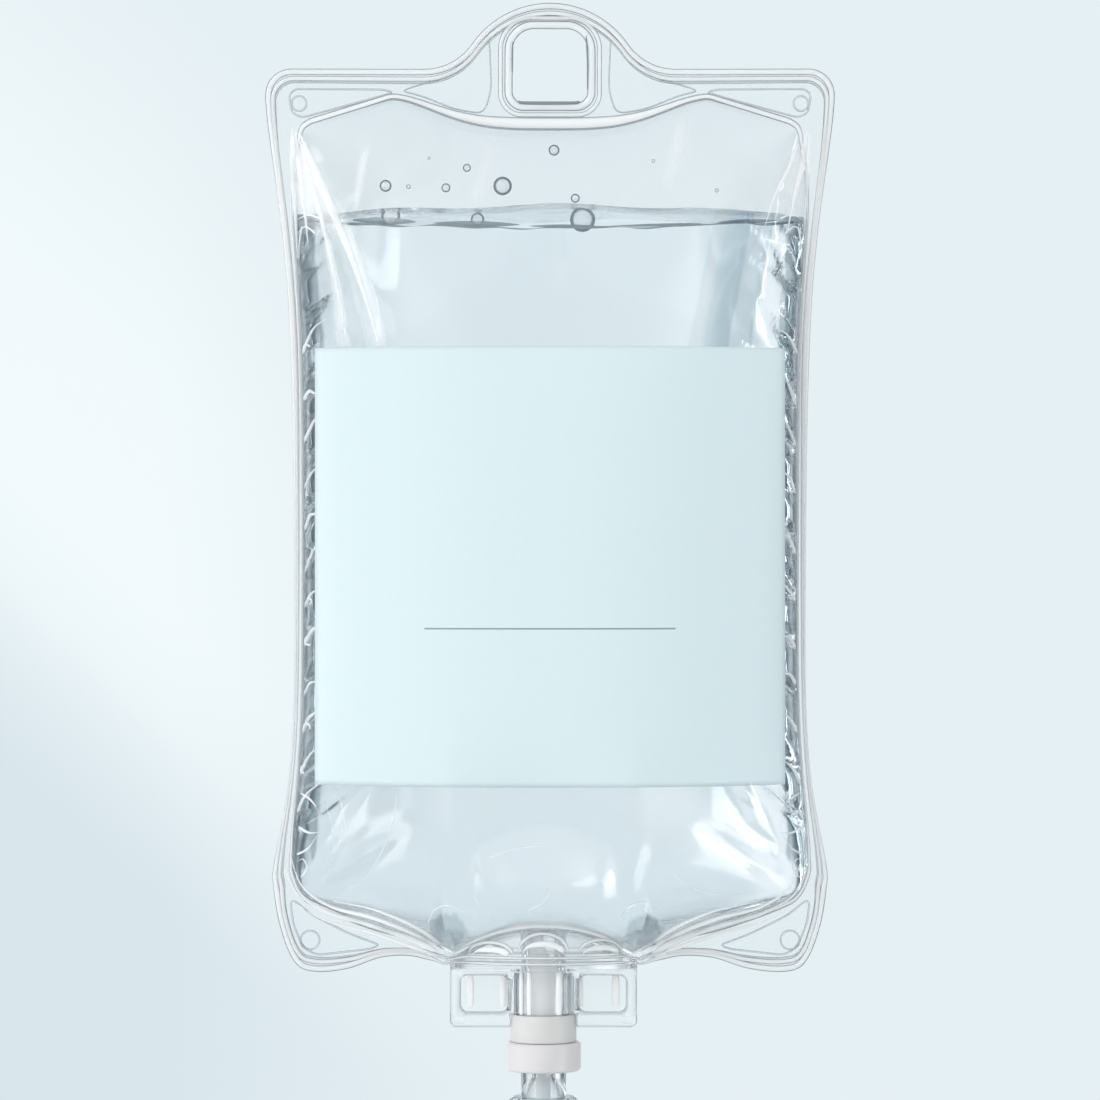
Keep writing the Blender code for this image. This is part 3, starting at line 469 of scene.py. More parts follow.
def fill(x, z):
    """Half depth of the smooth pouch."""
    across = np.abs(x)
    foot_right = np.interp(across, FOOT_RIGHT[:, 0], FOOT_RIGHT[:, 1])
    foot_left = np.interp(across, FOOT_LEFT[:, 0], FOOT_LEFT[:, 1])
    foot = np.where(x >= 0, foot_right, foot_left)
    depth = (HALF_DEPTH + DEEPER_BELOW * np.clip(-z / DEEPEST_AT, 0.0, 1.0)) * MM
    tall = swell((top_seam(across) - z) / TOP_SWELL) * swell((z - foot) / FOOT_SWELL)
    return depth * (swell(1 - across / side_seam(z)) * tall) ** FILL_POWER


def boat_half(across):
    return (0.8 + 6.6 * (1 - np.minimum(1.0, across / PORT_HALF) ** 2)) * MM


def boat_swell(x, z):
    """How far the port's boat holds the films apart, fading into the pouch above it."""
    across = np.abs(x - PORT_X)
    spread = 6.0 * MM * smooth_step((z - SEAM_PORT_Z) / (7.0 * MM))
    flat = smooth_step((across - PORT_HALF + spread) / (1.4 * MM + 2 * spread))
    fade = smooth_step((z - arch(across)) / (22.0 * MM))
    return (boat_half(across) + 0.15 * MM) * (1 - flat) * (1 - fade)


def ridge(x, z, start, end, width, height):
    """Soft fold along a line, fading at both ends."""
    start, end = np.array(start) * MM, np.array(end) * MM
    run = end - start
    share = ((x - start[0]) * run[0] + (z - start[1]) * run[1]) / run.dot(run)
    off = ((x - start[0]) * run[1] - (z - start[1]) * run[0]) / np.sqrt(run.dot(run))
    taper = smooth_step(share / 0.25) * smooth_step((1 - share) / 0.4)
    return height * MM * np.exp(-((off / (width * MM)) ** 2)) * taper


FRONT_FOLDS = (
    ((-50, -21), (-33, -72), 1.7, 0.75),
    ((-50, -22), (-39, -74), 1.3, 0.55),
    ((-49, -24), (-43, -62), 1.2, -0.45),
    ((49, -22), (38, -66), 2.2, 0.6),
    ((49, -24), (44, -70), 1.4, -0.5),
    ((-50, -170), (-33, -140), 2.6, 0.9),
    ((-49, -172), (-26, -158), 1.8, -0.6),
    ((50, -170), (34, -142), 2.6, 0.9),
    ((49, -172), (27, -157), 1.8, -0.6),
    ((-19, -183), (-24, -158), 2.6, -0.35),
    ((17, -183), (21, -158), 2.6, -0.35),
    ((-12, -180), (-14, -160), 1.2, 0.5),
    ((9, -180), (12, -160), 1.2, 0.5),
    ((-12, -21), (-16, -50), 2.0, 0.35),
    ((10, -21), (8, -52), 2.4, 0.3),
    ((30, -16), (27, -52), 2.0, 0.35),
)
BACK_FOLDS = (
    ((-49, -22), (-30, -60), 2.2, 0.6),
    ((49, -22), (31, -58), 2.4, 0.6),
    ((-49, -171), (-30, -146), 2.4, -0.8),
    ((49, -171), (31, -147), 2.4, -0.8),
    ((-17, -183), (-18, -155), 2.6, 0.4),
    ((15, -183), (16, -155), 2.6, 0.4),
    ((2, -22), (0, -58), 2.2, 0.4),
)


def gathers(x, z, facing):
    """Factor for the puckers along the side seams: round bulges with narrow slanting pinches between."""
    side = np.where(x >= 0, 1.0, -1.0)
    inset = np.maximum(0.0, side_seam(z) - np.abs(x))
    share = np.interp(inset, np.array((0.0, 1.2, 3.6, 8.0, 15.0)) * MM, (0.0, 0.12, 0.17, 0.06, 0.0))
    along = smooth_step((-24.0 * MM - z) / (12.0 * MM)) * smooth_step((z + 166.0 * MM) / (10.0 * MM))
    drift = 1.7 * MM * np.sin(z / (13.0 * MM) + 1.3 * side)
    drift = drift + 1.1 * MM * np.sin(z / (5.7 * MM) + 2.0 * facing)
    phase = (z - 0.75 * inset + drift) / GATHER_PITCH + 0.25 * side * facing
    near = np.abs(phase - np.round(phase)) * GATHER_PITCH
    pinch = np.exp(-((near / (1.0 * MM)) ** 2))
    strength = 0.75 + 0.5 * np.sin(np.round(phase) * 2.4 + side)
    return 1 + share * along * (0.35 - 1.75 * strength * pinch)


def film_face(x, z, facing, folds):
    """Distance of a film's inner face from the middle plane."""
    smooth = fill(x, z)
    soft = np.clip(smooth / (6.0 * MM), 0.0, 1.0)
    waves = 0.22 * MM * np.sin(x / (9.0 * MM) + z / (17.0 * MM) + facing)
    waves = waves + 0.16 * MM * np.sin(x / (5.5 * MM) - z / (11.0 * MM) + 2.1 * facing)
    relief = waves + sum(ridge(x, z, *fold) for fold in folds)
    boat = boat_swell(x, z)
    return np.maximum(FILM_HALF_GAP, boat) + smooth * gathers(x, z, facing) + relief * soft


def ring_points(inner_only):
    """Rings of (x, z) from the rim, or from the seam, to the spine."""
    inner = [SEAM + (SPINE - SEAM) * (k / RING_STEPS) ** RING_CROWDING for k in range(RING_STEPS + 1)]
    if inner_only:
        return inner
    flange = [RIM + (SEAM - RIM) * share for share in FLANGE_SHARES]
    return flange + inner


def close_rings(bm, rings):
    """Quads between closed rings of vertices."""
    count = len(rings[0])
    for ring, after in zip(rings, rings[1:]):
        for i in range(count):
            j = (i + 1) % count
            bm.faces.new((ring[i], ring[j], after[j], after[i]))


def quad_rows(bm, rows):
    """Quads between open rows of vertices."""
    for upper, lower in zip(rows, rows[1:]):
        for corners in zip(upper, lower, lower[1:], upper[1:]):
            bm.faces.new(corners)


def skin_mesh(bm, rings, depths, facing):
    """Skin over rings of points, at a depth for each point."""
    close_rings(bm, [
        [bm.verts.new((x, facing * depth, z)) for (x, z), depth in zip(ring, ring_depth)]
        for ring, ring_depth in zip(rings, depths)
    ])


def new_piece(name, bm, finish):
    for face in bm.faces:
        face.smooth = True
    mesh = bpy.data.meshes.new(name)
    bm.to_mesh(mesh)
    bm.free()
    piece = bpy.data.objects.new(name, mesh)
    scene.collection.objects.link(piece)
    mesh.materials.append(finish)
    return piece


def bake(piece):
    """Turns the piece with its modifiers into a plain mesh."""
    shape = piece.evaluated_get(bpy.context.evaluated_depsgraph_get())
    mesh = bpy.data.meshes.new_from_object(shape)
    piece.modifiers.clear()
    piece.data = mesh


def thicken(piece, thickness):
    wall = piece.modifiers.new("wall", "SOLIDIFY")
    wall.thickness = thickness
    wall.offset = 1.0


def clear_sheet(name, haze):
    """Thin clear film: what lies behind shows straight through, edges mirror and darken."""
    finish, tree, _ = new_finish(name)
    tree.nodes.clear()
    facing = node(tree, "ShaderNodeLayerWeight", Blend=0.5).outputs["Facing"]
    tint = colour_ramp(tree, facing, FILM_TINT)
    through = node(tree, "ShaderNodeBsdfTransparent", Color=tint)
    gloss = node(tree, "ShaderNodeBsdfGlossy", Color=(1.0, 1.0, 1.0), Roughness=0.12)
    grazing = math_node(tree, "POWER", facing, 5.0)
    mirror = math_node(tree, "MULTIPLY_ADD", grazing, 0.9, 0.04, clamp=True)
    matt_part = node(tree, "ShaderNodeBsdfDiffuse", Color=(0.93, 0.96, 0.98))
    veil = mix_shader(tree, haze, mix_shader(tree, mirror, through, gloss), matt_part)
    node(tree, "ShaderNodeOutputMaterial", Surface=veil.outputs[0])
    return finish


EYELET_HALF = 7.5 * MM
EYELET_Z = (-14.8 * MM, 0.0)
EYELET_RADII = (2.4 * MM, 4.4 * MM)


def rounded_loop(left, right, low, high, low_radius, high_radius, steps=10):
    return np.vstack((
        arc((right - high_radius, high - high_radius), high_radius, 0, 90, steps),
        arc((left + high_radius, high - high_radius), high_radius, 90, 180, steps),
        arc((left + low_radius, low + low_radius), low_radius, 180, 270, steps),
        arc((right - low_radius, low + low_radius), low_radius, 270, 360, steps),
    ))


def upright_block(name, loop, low, high):
    """Closed (x, z) outline raised from y = low to y = high."""
    bm = bmesh.new()
    face = bm.faces.new([bm.verts.new((x, low, z)) for x, z in loop])
    moved = bmesh.ops.extrude_face_region(bm, geom=[face])["geom"]
    verts = [g for g in moved if isinstance(g, bmesh.types.BMVert)]
    bmesh.ops.translate(bm, vec=(0, high - low, 0), verts=verts)
    bmesh.ops.recalc_face_normals(bm, faces=bm.faces)
    return new_piece(name, bm, None)


def film_sheet(name, facing, folds, finish, cutter):
    rings = ring_points(False)
    depths = [film_face(ring[:, 0], ring[:, 1], facing, folds) for ring in rings]
    bm = bmesh.new()
    skin_mesh(bm, rings, depths, facing)
    bmesh.ops.remove_doubles(bm, verts=bm.verts, dist=FILM_MERGE)
    bmesh.ops.recalc_face_normals(bm, faces=bm.faces)
    if sum(face.normal.y * face.calc_area() for face in bm.faces) * facing < 0:
        bmesh.ops.reverse_faces(bm, faces=bm.faces)
    sheet = new_piece(name, bm, finish)
    thicken(sheet, FILM_WALL)
    hole = sheet.modifiers.new("eyelet", "BOOLEAN")
    hole.operation = "DIFFERENCE"
    hole.object = cutter
    bake(sheet)
    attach(sheet, "bag")
    return sheet


FILM_TINT = ((0.0, (0.99, 0.993, 0.995)), (0.7, (0.965, 0.975, 0.98)), (1.0, (0.84, 0.875, 0.895)))
FRONT_FILM = clear_sheet("front_film", 0.035)
BACK_FILM = clear_sheet("back_film", 0.03)
eyelet = rounded_loop(-EYELET_HALF, EYELET_HALF, *EYELET_Z, *EYELET_RADII)
cutter = upright_block("eyelet_cutter", eyelet, -3 * MM, 3 * MM)
front_sheet = film_sheet("front_sheet", -1, FRONT_FOLDS, FRONT_FILM, cutter)
back_sheet = film_sheet("back_sheet", 1, BACK_FOLDS, BACK_FILM, cutter)
bpy.data.objects.remove(cutter)
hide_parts("front_film")
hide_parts("back_film")


# Weld beads
# The welding die leaves raised round beads: along the rim, on both edges of the pouch's seam, round
# the corner panels, the pockets beside the eyelet and the eyelet's ring.

BAG_MIDDLE = 97.0 * MM
CALM_WHITE = (0.97, 0.975, 0.985)
LAMP_SHARE = 0.8
BEAD_SIDES = 10


def clear_glass(name, stops, ior, roughness, matt_part=0.0, calm=0.0):
    """Clear solid; stops colour it from where the eye meets it square on (0) to its outline (1).
    These colours are painted light: pale middles are painted highlight and dark outlines painted
    shade for the dark of the room seen through the solid; the matt part shows them as plain colour.

    Along the bag's sides its colours are pulled towards white by calm.
    """
    finish, tree, shader = new_finish(name)
    facing = node(tree, "ShaderNodeLayerWeight", Blend=0.5).outputs["Facing"]
    colour = colour_ramp(tree, facing, stops)
    if calm:
        middle = math_node(tree, "ABSOLUTE", math_node(tree, "ADD", axes(tree)[2], BAG_MIDDLE))
        by_side = colour_ramp(tree, math_node(tree, "MULTIPLY", middle, 10.0), ((0.60, calm), (0.80, 0.0)))
        colour = mix_colour(tree, by_side, colour, CALM_WHITE)
    feed(tree, shader, Base_Color=colour, Transmission_Weight=1.0 - matt_part, IOR=ior, Roughness=roughness)
    shadow = tree.nodes.new("ShaderNodeLightPath").outputs["Is Shadow Ray"]
    lamp = tree.nodes.new("ShaderNodeBsdfTransparent")
    mix = mix_shader(tree, math_node(tree, "MULTIPLY", shadow, LAMP_SHARE), shader, lamp)
    feed(tree, tree.nodes["Material Output"], Surface=mix.outputs[0])
    return finish


def node_group(name, places, amounts):
    """Geometry nodes that take places, amounts and a finish; gives the tree and its inputs."""
    tree = bpy.data.node_groups.new(name, "GeometryNodeTree")
    kinds = {places: "Geometry", **dict.fromkeys(amounts, "Float"), "Finish": "Material"}
    for label, kind in kinds.items():
        tree.interface.new_socket(label, in_out="INPUT", socket_type=f"NodeSocket{kind}")
    tree.interface.new_socket("Shape", in_out="OUTPUT", socket_type="NodeSocketGeometry")
    return tree, tree.nodes.new("NodeGroupInput").outputs


def end_group(tree, given, shape):
    """Makes the shape real and smooth, and gives it the finish."""
    real = node(tree, "GeometryNodeRealizeInstances", Geometry=shape)
    smooth = node(tree, "GeometryNodeSetShadeSmooth", Geometry=real.outputs[0])
    coat = node(tree, "GeometryNodeSetMaterial", Geometry=smooth.outputs[0], Material=given["Finish"])
    node(tree, "NodeGroupOutput", Shape=coat.outputs[0])
    return tree


def bead_tree():
    """Geometry nodes: an oval bead swept along each path."""
    tree, given = node_group("weld_bead", "Path", ("Half Width", "Half Height"))
    lay = node(tree, "GeometryNodeSetCurveNormal", Curve=given["Path"])
    lay.mode = "FREE"
    feed(tree, lay, Normal=(0.0, 1.0, 0.0))
    circle = node(tree, "GeometryNodeCurvePrimitiveCircle", Resolution=BEAD_SIDES, Radius=1.0)
    size = node(tree, "ShaderNodeCombineXYZ", X=given["Half Height"], Y=given["Half Width"], Z=1.0)
    oval = node(tree, "GeometryNodeTransform", Geometry=circle.outputs["Curve"], Scale=size.outputs[0])
    width = tree.nodes.new("GeometryNodeInputRadius").outputs[0]
    sweep = node(tree, "GeometryNodeCurveToMesh", Curve=lay.outputs["Curve"], Scale=width, Fill_Caps=True)
    feed(tree, sweep, Profile_Curve=oval.outputs["Geometry"])
    return end_group(tree, given, sweep.outputs["Mesh"])


def set_inputs(modifier, **values):
    """Sets a modifier's inputs by the sockets' identifiers."""
    for item in modifier.node_group.interface.items_tree:
        if item.item_type == "SOCKET" and item.in_out == "INPUT":
            key = item.name.replace(" ", "_").lower()
            if key in values:
                modifier[item.identifier] = values[key]


def weld_bead(name, loops, half_width, half_height, finish, closed=True, widths=None):
    """Bead along each path of points; widths scale it from point to point."""
    curve = bpy.data.curves.new(name, "CURVE")
    curve.dimensions = "3D"
    for i, loop in enumerate(loops):
        spline = curve.splines.new("POLY")
        spline.points.add(len(loop) - 1)
        spline.points.foreach_set("co", np.column_stack((loop, np.ones(len(loop)))).ravel())
        if widths is not None:
            spline.points.foreach_set("radius", np.asarray(widths[i], dtype=np.float32))
        spline.use_cyclic_u = closed
    path = bpy.data.objects.new(name, curve)
    scene.collection.objects.link(path)
    sweep = path.modifiers.new("sweep", "NODES")
    sweep.node_group = BEAD_TREE
    set_inputs(sweep, half_width=half_width * MM, half_height=half_height * MM, finish=finish)
    shape = path.evaluated_get(bpy.context.evaluated_depsgraph_get())
    mesh = bpy.data.meshes.new_from_object(shape)
    bpy.data.objects.remove(path)
    piece = bpy.data.objects.new(name, mesh)
    scene.collection.objects.link(piece)
    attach(piece, "bag")


def on_plane(points, y=0.0):
    points = np.asarray(points)
    return np.column_stack((points[:, 0], np.full(len(points), y), points[:, 1]))


def on_film(points, lift):
    """Points laid on the front film's face, over the pouch or the port's boat."""
    x, z = points[:, 0], points[:, 1]
    inside = np.abs(x) < side_seam(z)
    y = np.where(inside, film_face(x, z, -1, FRONT_FOLDS), FILM_HALF_GAP)
    return np.column_stack((x, -(y + FILM_WALL + lift * MM), z))


def on_border(points, facing):
    """Points on the flat border, or over the boat where they pass the port."""
    y = np.maximum(FILM_HALF_GAP, boat_swell(points[:, 0], points[:, 1])) + 0.6 * FILM_WALL
    return np.column_stack((points[:, 0], facing * y, points[:, 1]))


def round_corners(corners, radius, share, steps):
    """Closed outline; each corner is rounded by the radius, or by a share of its shorter side."""
    points = []
    for i, corner in enumerate(corners):
        before = corners[i - 1] - corner
        after = corners[(i + 1) % len(corners)] - corner
        reach = min(radius, share * np.linalg.norm(before), share * np.linalg.norm(after))
        start = corner + before / np.linalg.norm(before) * reach
        end = corner + after / np.linalg.norm(after) * reach
        for t in np.linspace(0.0, 1.0, steps):
            points.append((1 - t) ** 2 * start + 2 * t * (1 - t) * corner + t**2 * end)
    return np.array(points)


def polygon(corners, radius):
    """Closed outline through corners in millimetres, each rounded by a radius."""
    return round_corners(np.array(corners, float) * MM, radius * MM, 0.45, 6)


def both_sides(loop):
    return [on_plane(loop), on_plane(loop[::-1] * (-1.0, 1.0))]


BEAD_TREE = bead_tree()
# Painted light in the bead colours: white and pale middles are painted highlight, dark outlines painted
# shade.
BEAD_HIGHLIGHT_SHADE = (
    (0.0, (0.97, 0.98, 0.985)), (0.22, (0.95, 0.965, 0.97)), (0.40, (0.30, 0.34, 0.37)),
    (0.8, (0.20, 0.23, 0.26)),
)
FINE_LINE = (
    (0.0, (0.90, 0.925, 0.935)), (0.12, (0.80, 0.84, 0.86)), (0.30, (0.40, 0.45, 0.48)),
    (0.8, (0.30, 0.34, 0.37)),
)
BEAD = clear_glass("weld_bead", BEAD_HIGHLIGHT_SHADE, 1.42, 0.06, 0.62, calm=0.7)
LINE = clear_glass("weld_line", FINE_LINE, 1.42, 0.06, 0.35, calm=0.6)
PALE_BAND = ((0.0, (0.975, 0.985, 0.99)), (0.6, (0.94, 0.955, 0.96)), (1.0, (0.72, 0.76, 0.78)))
DARK_LINE = (
    (0.0, (0.55, 0.60, 0.63)), (0.25, (0.36, 0.41, 0.44)), (0.6, (0.16, 0.20, 0.23)),
    (1.0, (0.12, 0.15, 0.18)),
)
SEAM_BAND = clear_glass("seam_band", PALE_BAND, 1.25, 0.1, 0.85)
EDGE_LINE = clear_glass("edge_line", DARK_LINE, 1.42, 0.06, 0.6, calm=0.35)

border = np.linalg.norm(SEAM - RIM, axis=1)[:, None]
inwards = (SEAM - RIM) / border
tight = np.clip(border / (5.6 * MM), 0.22, 1.0)
by_port = smooth_step((PORT_HALF + 6 * MM - np.abs(RIM[:, 0] - PORT_X)) / (5 * MM)) * (RIM[:, 1] < HIP_Z)
full = np.ones(len(RIM)) * tight[:, 0]
slim = full * (1 - 0.55 * by_port)
rim_line = RIM + inwards * tight * 0.62 * MM
second_line = RIM + inwards * tight * 2.05 * MM
third_line = RIM + inwards * tight * 2.85 * MM
along_top = smooth_step((SEAM[:, 1:] + 26.0 * MM) / (6.0 * MM))
centre = 1 - smooth_step((np.abs(SEAM[:, :1]) - 6.0 * MM) / (26.0 * MM))
band = (0.9 + 0.2 * along_top + 1.3 * along_top * centre) * tight
crown_part = along_top * (1 - smooth_step((np.abs(SEAM[:, :1]) - 30.0 * MM) / (8.0 * MM)))
crisp = slim * (0.45 + 0.55 * crown_part[:, 0])
weld_bead("rim_bead", [on_plane(rim_line)], 0.66, 0.5, BEAD, widths=[slim])
for facing, name in ((-1, "front"), (1, "back")):
    for part, path, half_width, half_height, finish, widths in (
        ("second_line", second_line, 0.5, 0.34, BEAD, slim),
        ("third_line", third_line, 0.16, 0.22, LINE, slim),
        ("seam", SEAM - 0.5 * inwards * band * MM, 0.5, 0.2, SEAM_BAND, band[:, 0]),
        ("seam_edge", SEAM - 0.1 * inwards * MM, 0.2, 0.45, EDGE_LINE, crisp),
        ("seam_line", SEAM - inwards * band * MM, 0.13, 0.3, LINE, slim),
    ):
        path = on_border(path, facing)
        weld_bead(f"{name}_{part}", [path], half_width, half_height, finish, widths=[widths])

ring = rounded_loop(-9.9 * MM, 9.9 * MM, -17.2 * MM, 2.2 * MM, 4.4 * MM, 6.2 * MM, 14)
hole = rounded_loop(-8.3 * MM, 8.3 * MM, -15.6 * MM, 0.8 * MM, 3.1 * MM, 5.1 * MM, 14)
weld_bead("eyelet_ring", [on_plane(ring)], 0.5, 0.5, BEAD)
weld_bead("eyelet_edge", [on_plane(hole)], 0.85, 0.7, BEAD)
SHADOW_EDGE = ((0.0, (0.30, 0.36, 0.40)), (1.0, (0.14, 0.18, 0.21)))
SHADOW = clear_glass("eyelet_shadow", SHADOW_EDGE, 1.42, 0.06, 0.75)
for name, half_width, keys in (
    ("eyelet_foot_line", 0.34, [(-6.3, -14.5), (-5.4, -14.82), (0.0, -14.88), (5.0, -14.82), (5.9, -14.5)]),
    ("eyelet_left_line", 0.15, [(-7.4, -2.6), (-7.5, -5.5), (-7.5, -8.8)]),
    ("eyelet_right_line", 0.18, [(7.2, -1.4), (7.5, -6.0), (7.5, -12.4)]),
):
    line = curve_through([(x * MM, z * MM) for x, z in keys], 40)
    ends = np.sin(np.linspace(0.03, 0.97, len(line)) * math.pi) ** 0.3
    weld_bead(name, [on_plane(line, -0.72 * MM)], half_width, 0.2, SHADOW, closed=False, widths=[ends])

TOP_PANEL = [
    (52.2, -13.2), (51.0, -12.0), (33.5, -12.1), (31.4, -12.6), (33.0, -13.2), (49.6, -17.7), (51.6, -16.8),
]
FOOT_PANEL = [
    (52.0, -173.6), (51.4, -179.0), (49.4, -183.6), (46.8, -185.2), (36.0, -184.0), (34.0, -183.2),
    (40.0, -181.0), (47.6, -177.2),
]
POCKET = [
    (12.2, -0.8), (15.2, -4.8), (21.0, -9.8), (27.5, -11.6), (29.6, -12.4), (25.6, -13.4), (19.2, -16.0),
    (13.2, -17.0), (11.7, -12.0),
]
weld_bead("top_panels", both_sides(polygon(TOP_PANEL, 1.6)), 0.2, 0.42, LINE)
weld_bead("foot_panels", both_sides(polygon(FOOT_PANEL, 2.0)), 0.2, 0.42, LINE)
weld_bead("eyelet_pockets", both_sides(polygon(POCKET, 2.0)), 0.16, 0.42, LINE)
button = arc((50.2 * MM, -14.9 * MM), 1.5 * MM, 0, 360, 24)
foot_button = arc((48.0 * MM, -182.2 * MM), 1.9 * MM, 0, 360, 28)
weld_bead("buttons", both_sides(button) + both_sides(foot_button), 0.2, 0.42, LINE)


# Creases
# Sharp folds that the film took when it was filled: they fan out from the pouch's corners and
# crowd along its foot towards the port, and each shows as a white line of painted highlight.

CREASE_LIFT = 0.06
PATCH_LIFT = 0.09
PATCH_STEPS = 36
PATCH_COLUMNS = 14


def crease_path(keys, steps=40):
    keys = np.array(keys, float)
    line = curve_through([tuple(k) for k in keys[:, :2] * MM], steps)
    return np.vstack((line, keys[-1:, :2] * MM))


def taper(count, blunt=0.25, rise=0.12):
    share = np.linspace(0.0, 1.0, count)
    return 0.12 + 0.88 * smooth_step(share / rise) * (1 - smooth_step((share - blunt) / (1 - blunt)))


def creases(name, lines, finish, rise=0.12):
    """Tapering creases on the front film: each line is its half width and its keys, in millimetres."""
    paths = [on_film(crease_path(keys), CREASE_LIFT) for _, keys in lines]
    widths = [line[0] * taper(len(path), 0.25, rise) for line, path in zip(lines, paths)]
    weld_bead(name, paths, 1.0, 0.45, finish, closed=False, widths=widths)


def mirrored(lines, side):
    """The lines as drawn, or on the bag's other side."""
    return [(width, [(side * x, z) for x, z in keys]) for width, keys in lines]


def sheen_finish():
    """Painted white sheen whose strength is the mesh's own attribute."""
    finish, tree, _ = new_finish("white_sheen")
    tree.nodes.clear()
    strength = tree.nodes.new("ShaderNodeAttribute")
    strength.attribute_name = "veil"
    haze = cloud(tree, 190.0, 2.0, (1.0, 1.0, 0.35)).outputs["Fac"]
    thin = colour_ramp(tree, haze, ((0.35, 0.72), (0.6, 1.0)))
    white = node(tree, "ShaderNodeBsdfDiffuse", Color=(0.97, 0.98, 0.99))
    clear = tree.nodes.new("ShaderNodeBsdfTransparent")
    mix = mix_shader(tree, math_node(tree, "MULTIPLY", strength.outputs["Fac"], thin), clear, white)
    node(tree, "ShaderNodeOutputMaterial", Surface=mix.outputs[0])
    return finish


def film_patch(name, near, far, strength, near_soft, far_soft):
    """Painted sheen on the front film between two curves; soft is the share over which an edge fades."""
    first, last = crease_path(near, PATCH_STEPS), crease_path(far, PATCH_STEPS)
    across = np.linspace(0.0, 1.0, PATCH_COLUMNS)
    along = np.linspace(0.0, 1.0, PATCH_STEPS + 1)
    bm = bmesh.new()
    veil = bm.verts.layers.float.new("veil")
    rows = []
    for a, b, t in zip(first, last, along):
        row = []
        for point, s in zip(on_film(a + (b - a) * across[:, None], PATCH_LIFT), across):
            vert = bm.verts.new(point)
            edge = smooth_step(s / near_soft) * smooth_step((1 - s) / far_soft)
            vert[veil] = strength * float(edge * smooth_step(t / 0.3) * smooth_step((1 - t) / 0.3))
            row.append(vert)
        rows.append(row)
    quad_rows(bm, rows)
    bmesh.ops.recalc_face_normals(bm, faces=bm.faces)
    if sum(face.normal.y for face in bm.faces) > 0:
        bmesh.ops.reverse_faces(bm, faces=bm.faces)
    patch = new_piece(name, bm, SHEEN)
    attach(patch, "bag")


SHEEN = sheen_finish()
PATCHES = (
    (
        "corner_veil", [(-51.6, -21.0), (-51.2, -29.0), (-50.4, -40.0)],
        [(-49.6, -21.5), (-44.0, -31.0), (-38.0, -46.0)], 0.5, 0.12, 0.3,
    ),
    (
        "streak", [(-37.6, -23.0), (-38.8, -30.0), (-39.8, -38.0)],
        [(-35.0, -23.0), (-36.4, -30.0), (-37.8, -38.0)], 0.4, 0.45, 0.45,
    ),
    (
        "fan_glare", [(-43.4, -35.0), (-39.4, -47.0), (-36.4, -57.0), (-34.8, -70.0)],
        [(-41.2, -35.0), (-36.4, -47.0), (-32.8, -57.0), (-30.6, -70.0)], 0.6, 0.45, 0.45,
    ),
    (
        "inner_glare", [(-47.0, -35.0), (-44.6, -47.0), (-43.2, -57.0), (-42.8, -70.0)],
        [(-45.0, -35.0), (-42.0, -47.0), (-39.8, -57.0), (-38.6, -70.0)], 0.45, 0.45, 0.45,
    ),
    (
        "middle_pleat", [(-13.4, -22.0), (-15.0, -29.0), (-17.4, -37.0)],
        [(-9.4, -22.0), (-10.2, -29.0), (-12.0, -37.0)], 0.26, 0.5, 0.5,
    ),
    (
        "right_pleat", [(25.0, -17.0), (23.0, -25.0), (20.4, -34.0)],
        [(28.4, -17.0), (27.0, -25.0), (25.6, -34.0)], 0.26, 0.5, 0.5,
    ),
    (
        "right_veil", [(43.0, -38.5), (46.0, -30.0), (48.8, -22.5)],
        [(49.6, -38.5), (50.2, -30.0), (51.6, -22.0)], 0.45, 0.5, 0.2,
    ),
)
for patch in PATCHES:
    film_patch(*patch)


LEFT_FAN = (
    (0.90, [(-51.5, -19.8), (-51.2, -27.0), (-50.8, -37.0), (-50.4, -46.0)]),
    (0.75, [(-50.9, -20.2), (-49.9, -28.0), (-48.8, -37.0), (-48.2, -43.0)]),
    (0.95, [(-50.4, -20.0), (-46.6, -29.0), (-40.8, -42.5), (-36.6, -54.0), (-34.0, -63.0)]),
    (0.60, [(-50.6, -20.4), (-48.0, -29.0), (-44.4, -42.0), (-41.8, -54.0), (-40.4, -62.0)]),
)
RIGHT_FAN = (
    (0.45, [(49.8, -22.5), (47.6, -28.0), (44.6, -34.0), (42.6, -40.0)]),
    (0.85, [(51.3, -20.5), (50.3, -27.0), (48.6, -34.0), (47.2, -41.0)]),
    (0.55, [(51.9, -20.5), (51.6, -28.0), (51.0, -36.0), (50.6, -42.0)]),
)
# Painted highlight: creases, puckers, their knots, crumples and the liquid's front shore are coloured white.
WHITE_HIGHLIGHT_TONES = ((0.0, (0.975, 0.98, 0.985)), (0.5, (0.95, 0.96, 0.965)), (1.0, (0.80, 0.83, 0.85)))
WHITE_HIGHLIGHT = clear_glass("white_crease", WHITE_HIGHLIGHT_TONES, 1.25, 0.2, 0.6)
creases("left_fan", LEFT_FAN, WHITE_HIGHLIGHT, rise=0.3)
creases("right_fan", RIGHT_FAN, WHITE_HIGHLIGHT, rise=0.3)
WRINKLES = (
    (0.20, [(-24.2, -178.4), (-23.0, -175.6), (-20.2, -174.4), (-17.2, -175.6)]),
    (0.10, [(-14.9, -172.0), (-14.0, -175.0), (-14.2, -178.6)]),
    (0.10, [(-4.6, -175.2), (-1.6, -173.6), (0.4, -170.6)]),
    (0.20, [(14.0, -177.6), (15.4, -174.8), (18.8, -173.8), (22.4, -175.6)]),
    (0.07, [(-12.0, -164.6), (-4.0, -162.4), (8.0, -162.8)]),
    (0.09, [(-45.0, -153.0), (-43.0, -160.0), (-44.6, -168.0)]),
    (0.12, [(-42.6, -151.0), (-40.6, -158.0), (-44.0, -168.0), (-46.6, -172.0)]),
    (0.09, [(-30.0, -152.0), (-31.6, -160.0), (-36.0, -168.4), (-41.0, -172.0)]),
    (0.16, [(24.0, -168.0), (30.0, -172.0), (38.0, -172.6)]),
)
